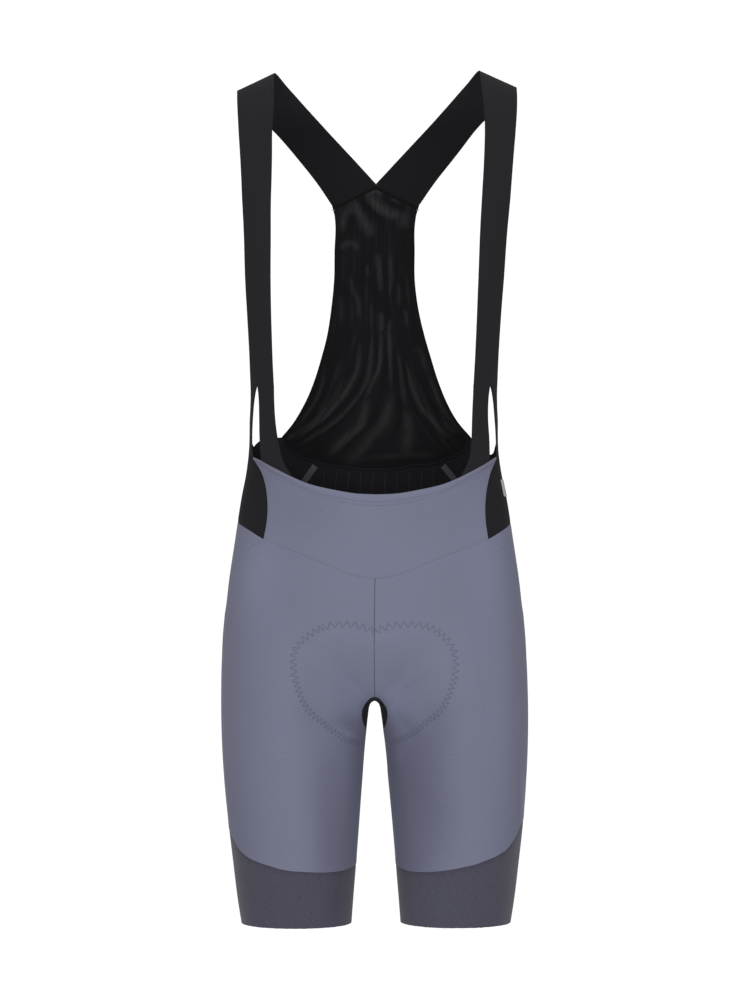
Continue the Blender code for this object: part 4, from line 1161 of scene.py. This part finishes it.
# The loose mesh hangs in soft folds, which fan out to its two lower corners
meshDrape = {
    "fan": [(-1, -1), (-0.6, -0.96), (-0.23, -0.88), (-0.03, -0.6), (0.1, -0.45), (0.18, -0.2),
            (0.27, 0.22), (0.32, 0.6), (0.45, 0.76), (0.6, 0.82), (1, 1)],
    "fanStart": -255, "fanEnd": -412, "depth": 0.6, "seed": 11,
    "finePitch": 0.05, "fine": 0.13, "fineFrom": -420, "fineOver": 310, "levels": 12,
    # width, painted highlight along the fold (below 0 painted shade in a trough), path of x and height
    "folds": [
        (3.0, 0.9, [(-14, -117), (1, -112), (8, -117)]),
        (6.2, 0.95, [(-9, -116), (4, -130), (14, -136), (24, -139)]),
        (2.8, 0.9, [(16, -120), (29, -125.5), (38, -130)]),
        (7.0, 0.6, [(16, -136), (29, -141), (33, -155)]),
        (5.6, 0.9, [(-32, -127), (-25, -127), (-18, -137), (-10, -150), (-1, -163)]),
        (4.6, 0.65, [(-29, -128), (-34, -140), (-37, -158)]),
        (3.4, 0.6, [(-37, -178), (-33, -171), (-24, -170), (-17, -178)]),
        (2.4, 0.6, [(-9, -193), (-8, -198), (-8, -207)]),
        (3.4, 0.65, [(3, -180), (5, -195), (6, -209), (6, -224)]),
        (2.2, 0.45, [(17, -180), (18, -198), (19, -211), (16, -228)]),
        (3.2, 0.5, [(-28, -204), (-25, -217), (-19, -233), (-18, -254)]),
        (2.2, 0.4, [(26, -215), (27, -226), (26, -239)]),
        (3.0, 0.3, [(-37, -228), (-38, -243), (-38, -257)]),
        (2.4, 0.9, [(7, -246), (7, -257), (6, -268)]),
        (2.2, 0.55, [(16, -254), (16, -267)]),
        (1.8, 0.55, [(34, -243), (35, -254), (35, -263)]),
        (2.6, 0.35, [(-4, -235), (-4, -254), (-5, -268)]),
        (3.0, -0.65, [(-18, -119), (-9, -130), (2, -141), (13, -146)]),
        (2.6, -0.55, [(12, -124), (22, -127), (35, -131)]),
        (3.6, -0.35, [(-24, -136), (-27, -148), (-30, -161)]),
        (2.0, -0.35, [(-1, -193), (0, -217), (2, -246)]),
        (2.0, -0.35, [(12, -202), (12, -228), (12, -257)]),
        (3.5, -0.3, [(-14, -183), (-13, -202), (-11, -224)]),
        (2.6, 0.75, [(-17, -278), (-19, -297), (-21, -311), (-30, -330), (-42, -347), (-56, -363),
                     (-75, -377), (-97, -391)]),
        (2.2, 0.5, [(-37, -319), (-43, -337), (-55, -355), (-75, -372), (-100, -388)]),
        (2.6, 0.7, [(-4, -261), (-5, -291), (-8, -316), (-16, -336), (-28, -352), (-45, -369), (-67, -383),
                    (-87, -397)]),
        (2.8, 0.9, [(6, -261), (5, -289), (2, -311), (-6, -327), (-13, -344)]),
        (5.0, 0.85, [(-11, -341), (-12, -358), (-17, -373), (-33, -387), (-55, -406)]),
        (2.4, 0.75, [(15, -261), (15, -291), (16, -314), (16, -333)]),
        (5.5, 0.6, [(16, -327), (15, -350), (9, -368), (-4, -383), (-16, -399), (-39, -415)]),
        (3.0, 0.5, [(23, -291), (27, -316), (30, -338), (34, -355)]),
        (6.5, 0.65, [(33, -352), (36, -372), (34, -391), (29, -405)]),
        (2.6, 0.8, [(33, -300), (36, -315), (40, -333), (51, -354), (66, -372), (80, -388)]),
        (2.2, 0.7, [(58, -316), (65, -334), (70, -347), (80, -363), (95, -383)]),
        (3.4, 0.45, [(42, -283), (49, -293), (54, -314)]),
        (2.2, 0.45, [(-56, -303), (-59, -325), (-67, -347), (-82, -366), (-100, -383)]),
        (1.8, 0.7, [(-103, -388), (-97, -387), (-90, -382)]),
        (3.0, 0.35, [(-40, -300), (-46, -322), (-52, -341), (-67, -361)]),
        (3.0, 0.4, [(-33, -416), (-16, -410), (11, -407), (42, -405), (69, -406)]),
        (3.0, 0.35, [(69, -355), (77, -372), (93, -383)]),
        (1.8, -0.55, [(-13, -291), (-14, -314), (-23, -334), (-36, -350), (-52, -366), (-72, -381),
                      (-91, -394)]),
        (1.8, -0.5, [(0, -272), (0, -303), (-4, -321), (-12, -334), (-24, -352), (-39, -369), (-62, -386),
                     (-80, -399)]),
        (2.0, -0.55, [(10, -269), (10, -303), (6, -330), (1, -352), (-5, -370), (-25, -387), (-41, -405)]),
        (2.2, -0.45, [(21, -286), (22, -316), (25, -344), (27, -361), (21, -380), (8, -397)]),
        (1.9, -0.5, [(29, -297), (32, -319), (38, -341), (45, -358), (58, -377), (69, -394)]),
        (2.2, -0.4, [(46, -311), (53, -333), (63, -352), (77, -372)]),
        (2.4, -0.3, [(-47, -294), (-50, -316), (-59, -341), (-75, -363)]),
    ],
}


def meshTone(grid):  # painted highlights and shade of the folded mesh, over fine streaks, and so where it stands up
    look = meshDrape
    flat = grid[..., [0, 2]]
    x, height = flat[..., 0], flat[..., 1]
    place = x / np.maximum(np.abs(x).max(axis=1, keepdims=True), 1)
    at, end = np.array(look["fan"], float).T
    fine = np.linspace(-1, 1, 161)
    ends = smoothThrough(at, end, fine)
    run = np.clip((height - look["fanStart"]) / (look["fanEnd"] - look["fanStart"]), 0, 1) ** 1.5
    origin = np.stack([np.interp(p, fine + (ends - fine) * r.mean(), fine) for p, r in zip(place, run)])
    # fine streaks, which change slowly from row to row of a few levels
    levels, lines = look["levels"], np.linspace(-1, 1, int(2 / look["finePitch"]) + 1)
    streaks = np.random.default_rng(look["seed"]).normal(0, 1, (levels, len(lines)))
    rows = np.stack([np.interp(origin, lines, row) for row in streaks])
    tall = np.clip((height - look["fineFrom"]) / look["fineOver"], 0, 1) * (levels - 1.01)
    level, part = tall.astype(int), softStep(tall % 1)
    upper, lower = (np.take_along_axis(rows, n[None], axis=0)[0] for n in (level, level + 1))
    tone = look["fine"] * (upper * (1 - part) + lower * part)
    for width, glow, path in look["folds"]:
        away, share = nearPath(flat, curved(path, 14))
        tone += glow * bell(away, width) * (1 - (2 * share - 1) ** 4)
    return tone


def makeBand():  # returns its foot
    bandTop = evenly(strapEnd(), upperBack["columns"])
    bandBottom = settle((bandTop - (0, 0, upperBack["band"])) * (upperBack["taper"], 1, 1))
    share = np.linspace(0, 1, 5)[:, None, None]
    half = pullIn(settle(bandTop[None] * (1 - share) + bandBottom[None] * share), ("top", "bottom"))
    band = whole(half, "right")
    # painted shade over the band, deepening to a painted shadow at its foot
    shadow = upperBack["bandShade"] * softStep(1.5 * share[..., 0]) + 0 * band[..., 0] + upperBack["bandDark"]
    makeCloth("backSeamBand", band, [blackKnit], walls["binding"], tone=shadow)
    return bandBottom


def makeBindings(bandBottom, foot):  # returns their outer and inner lines
    side = seamLine(upperBack["side"], upperBack["rows"])
    side[0] = bandBottom[0]
    inner = settle(side - unit(np.cross(np.gradient(side, axis=0), outward(side))) * upperBack["binding"])
    inner[0] = bandBottom[0] + unit(bandBottom[1] - bandBottom[0]) * upperBack["binding"]
    inner[-1] = foot
    share = np.linspace(0, 1, 6)[None, :, None]
    binding = pullIn(side[:, None] * (1 - share) + inner[:, None] * share, ("top", "bottom", "right"))
    for word, sign in sides:
        grid = onSide(binding, sign)
        crown = upperBack["crown"] * np.sin(np.pi * share[..., 0]) + 0 * grid[..., 0]
        # painted shade over the whole binding
        dark = np.full(grid.shape[:2], upperBack["shade"])
        makeCloth("meshBinding" + word, grid, [blackKnit], walls["binding"], crown, tone=dark)
    return side, inner


def makeUpperBack(meshEdge, backTop):
    bandBottom = makeBand()
    side, inner = makeBindings(bandBottom, backTop[1])
    # the mesh runs on under its binding and the band, so that no light shows between them
    columns, rows = upperBack["columns"], upperBack["rows"]
    start = np.argmax(np.linalg.norm(bandBottom - bandBottom[0], axis=1) > upperBack["binding"] + 0.5)
    share = upperBack["under"] + upperBack["underTop"] * bell(np.arange(rows + 1), rows / 25)[:, None]
    under = inner * (1 - share) + side * share
    under[0, 2] += upperBack["underBand"]
    top = evenly(np.concatenate([under[:1], bandBottom[start:] + (0, 0, upperBack["underBand"])]), columns)
    bottom = evenly(np.concatenate([backTop[1:], meshEdge[1:]]), columns)
    bottom[0] = under[-1]
    middle = centreLine(top[-1, 2], bottom[-1, 2], rows, 180.0)
    grid = whole(pullIn(panelGrid(top, bottom, under, middle, turn=0), ("bottom",)), "right")
    fade = softStep((edgeDistance(grid, around) - 3) / 12)
    tone = meshTone(grid)
    # seen through the neck, a ridge of the inner side stands to the front
    relief = -np.clip(tone, -1.2, 1.2) * meshDrape["depth"] * fade
    makeCloth("backMesh", grid, [openMesh], walls["mesh"], relief, tone=tone)


def makeTrims():
    table = sorted((height, angle) for angle, height in waist["tapeLine"])
    heights = np.linspace(*waist["tapeEnds"], 12)
    for word, sign in sides:
        angles = smoothThrough(*zip(*table), heights) + waist["tapeTurn"][word]
        line = evenly(onFigure(angles, heights), 40)
        across = unit(np.cross(np.gradient(line, axis=0), outward(line))) * waist["tapeWidth"]
        tape = settle(np.stack([line + across * share for share in np.linspace(-0.5, 0.5, 5)], axis=1))
        tape = onSide(tape - outward(tape) * waist["tapeInside"], sign)
        makeCloth("backTape" + word, tape, [bondingTape], walls["tape"])
    tab = onFigure(*np.meshgrid(np.linspace(*waist["tabAngles"], 12), np.linspace(*waist["tabHeights"], 10)))
    makeCloth("sideTab", tab + outward(tab) * waist["tabOutside"], [reflectiveFilm], walls["film"])


hemLines = makeYoke()
meshEdge, backTop, tapeLine = makeWaist()
print("yoke and waist made")
sideSeams = makeLegs()
print("legs made")
makeStraps()
makeUpperBack(meshEdge, backTop)
makeTrims()
print("straps, upper back and trims made")


def withWays(path, inside=False):
    way = outward(path)
    return path, -way if inside else way


def sew(name, lines, cloth, tree, thread, inside=False, turn=0.0, snap=1.0, **sizes):
    given = {"Cloth": pieces[cloth], "Material": threadMaterials[thread], "Lift": 0.0, "Swing": 0.0}
    given |= {"Turn": turn, "Snap": snap} | {key.capitalize(): value * mm for key, value in sizes.items()}
    sewn(name, [withWays(line, inside) for line in lines], tree, given)


def acrossMiddle(half):  # the same line on both sides of the middle, as one
    return np.concatenate([half[::-1] * mirror, half[1:]])


def bothWays(half):  # a line to the middle of the back, and on to the other side
    return np.concatenate([half, half[:-1][::-1] * mirror])


def sewPad():
    shared = {"swing": pad["swing"], "thickness": pad["thread"], "lift": -pad["sunk"]}
    back = facing(curved(pad["back"], 160), 1)
    for word, sign in sides:
        front = facing(curved(pad["frontLeft" if sign > 0 else "front"], 160), -1)
        for zone, first, last, spacing in pad["zones"]:
            line = front[int(first * 159):int(last * 159) + 1]
            name = f"padStitch{zone}{word}"
            sew(name, [line], "legFront" + word, laidThread, "padThread", spacing=spacing, **shared)
        sew("padStitchBack" + word, [back * (sign, 1, 1)], "legBack" + word, laidThread, "padThread",
            spacing=pad["backSpacing"], **shared)


sewPad()
print("pad stitching made")

# Cords in the seams, sunk between the two cloths that meet there
seams = {"spacing": 2.0, "slate": 0.34, "centre": 0.32, "black": 0.5, "gusset": 0.35, "sunk": 0.25,
         "centreSunk": 0.05}
stitch = {"pitch": 3.1, "length": 2.5, "thickness": 0.26}


def sewSeams():
    shared = {"spacing": seams["spacing"], "snap": 0.0, "lift": -seams["sunk"]}
    axis = figure["legAxis"]
    gusset = [acrossMiddle(seamLine(legs[edge], 60, axis)) for edge in ("gussetFront", "gussetBack")]
    waistSeam, yokeSeam = waistSeamLine(90), acrossMiddle(seamLine(yoke["bottom"], 120))
    centreBack = centreLine(*legs["centreBack"], 90, 180.0)
    sew("seamCentreFront", [centreLine(*legs["centreFront"], 90)], "legFrontLeft", laidThread, "darkSeam",
        spacing=seams["spacing"], thickness=seams["centre"], lift=-seams["centreSunk"])
    rows = [
        # name, lines, cloth, thread, thickness
        ("seamCentreBack", [centreBack], "legBackLeft", "seamThread", "slate"),
        ("seamYoke", [yokeSeam], "frontYoke", "seamThread", "slate"),
        ("seamWaist", [waistSeam, waistSeam * mirror], "lowerBack", "blackThread", "black"),
        ("seamGusset", gusset, "crotchGusset", "blackThread", "gusset"),
    ]
    inseam, yokeSide = seamLine(legs["inseam"], 90, axis), seamLine(yoke["side"], 70)
    for word, sign in sides:
        lower = [line * (sign, 1, 1) for line in (sideSeams[word], inseam)]
        upper = [line * (sign, 1, 1) for line in (yokeSide, sideLimbEnd(40), tapeLine)]
        rows += [("seamLeg" + word, lower, "legFront" + word, "seamThread", "slate"),
                 ("seamSide" + word, upper, "sidePanel" + word, "blackThread", "black")]
    for name, lines, cloth, thread, thickness in rows:
        sew(name, lines, cloth, laidThread, thread, thickness=seams[thickness], **shared)
    sew("hemStitches", hemLines, "frontYoke", stitchRow, "hemThread", **stitch)


sewSeams()
print("seams made")

# Overlock along the foot of the mesh: a soft ridge with threads slanting over it, on both faces
overlock = {"ridge": 1.25, "outerRidge": 0.625, "spacing": 2.2, "lift": 0.45, "wave": 0.7, "waves": 27,
            "slant": 1.0, "seed": 5, "threads": {"pitch": 2.1, "length": 3.6, "thickness": 0.26}}
bandSeam = {"spacing": 2.0, "thickness": 0.4, "lift": -0.2}


def sewOverlock():
    count, waves = 130, overlock["waves"]
    line = evenly(bothWays(np.concatenate([backTop[1:], meshEdge[1:]])), count)
    wave = np.random.default_rng(overlock["seed"]).normal(0, overlock["wave"], waves)
    line[:, 2] += np.interp(np.arange(count + 1), np.linspace(0, count, waves), wave)
    line = settle(evenly(line, 220))
    for word, inside, ridge in (("Inner", True, "ridge"), ("Outer", False, "outerRidge")):
        sew("overlock" + word, [line], "lowerBack", laidThread, "overlockThread", inside, snap=0.0,
            spacing=overlock["spacing"], thickness=overlock[ridge], lift=overlock["lift"])
        sew("overlockThreads" + word, [line], "overlock" + word, stitchRow, "overlockLoop", inside,
            turn=overlock["slant"], **overlock["threads"])
    band = evenly(bothWays(strapEnd()), 90)
    lines = [band, settle(band - (0, 0, upperBack["band"]))]
    sew("bandSeam", lines, "backSeamBand", laidThread, "blackThread", snap=0.0, **bandSeam)


sewOverlock()
stripes = {"count": 12, "first": -72.8, "step": 13.35, "top": -424, "foot": -477, "bow": 0.0006, "fan": 1.06,
           "slant": -4, "thickness": 0.3, "spacing": 3.0}


def layStripes():
    lines = []
    for i in range(stripes["count"]):
        x = stripes["first"] + i * stripes["step"]
        bow = stripes["bow"] * x**2
        ends = [(x, stripes["top"] + bow), (x * stripes["fan"] + stripes["slant"], stripes["foot"] + bow)]
        lines.append(facing(curved(ends, 24), 1))
    for word, inside in (("Inner", True), ("Outer", False)):
        sew("backStripes" + word, lines, "lowerBack", laidThread, "stripeThread", inside,
            spacing=stripes["spacing"], thickness=stripes["thickness"])


layStripes()
print("overlock and stripes made")

slots = {
    "slate_knit": ["frontYoke", "legFront", "legBack", "padStitch", "hemStitches", "seamCentre", "seamYoke",
                   "seamLeg"],
    "gripper_knit": ["gripper"],
    "black_mesh": ["backMesh"],
    "strap_knit": ["strap"],
    "bonding_tape": ["backTape"],
    "reflective_film": ["sideTab"],
    "black_knit": [""],
}
stands = {
    "frontYoke": "front_yoke", "legFront": "leg_front", "legBack": "leg_back",
    "crotchGusset": "crotch_gusset", "gripper": "leg_gripper", "sidePanel": "side_panel",
    "lowerBack": "lower_back_panel", "backMesh": "back_mesh", "meshBinding": "mesh_binding",
    "backSeamBand": "back_seam_band", "strap": "strap", "backTape": "back_tape", "sideTab": "side_tab",
}
# The flat cut of what shows, in metres, with its area where it isn't a rectangle
cuts = {
    "frontYoke": (0.270, 0.110, 0.0235), "legFront": (0.215, 0.345, 0.060), "legBack": (0.27, 0.36, 0.077),
    "crotchGusset": (0.075, 0.105, 0.0055), "gripper": (0.330, 0.105, 0.0275),
    "sidePanel": (0.160, 0.09, 0.0115), "lowerBack": (0.180, 0.065, 0.0095),
    "backMesh": (0.27, 0.305, 0.035), "strap": (0.075, 0.70, 0.0262),
}
partners = {
    "sidePanelLeft": ["sideTab"], "lowerBack": ["backTapeLeft", "backTapeRight"],
    "backMesh": ["meshBindingLeft", "meshBindingRight", "backSeamBand"],
}
hangs = {
    "frontYoke": ["strapLeft", "strapRight"], "legFront": ["frontYoke"],
    "legBack": ["sidePanel", "lowerBack"], "crotchGusset": ["legFrontLeft", "legFrontRight"],
    "gripper": ["legFront", "legBack"], "sidePanel": ["strap"], "lowerBack": ["backMesh"],
    "backMesh": ["strapLeft", "strapRight"], "strap": [],
}
for name, piece in pieces.items():
    kind = name.removesuffix("Left").removesuffix("Right")
    side = name[len(kind):]
    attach(piece, "root")
    next(slot for slot, starts in slots.items() if name.startswith(tuple(starts)))
    if kind in stands:
        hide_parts(stands[kind] + ("_" + side.lower() if side else ""))
    if kind in cuts:
        width, length, area = cuts[kind]
        rests = [pieces.get(held) or pieces[held + side] for held in hangs[kind]]
        trims = [pieces[trim] for trim in partners.get(name, [])]
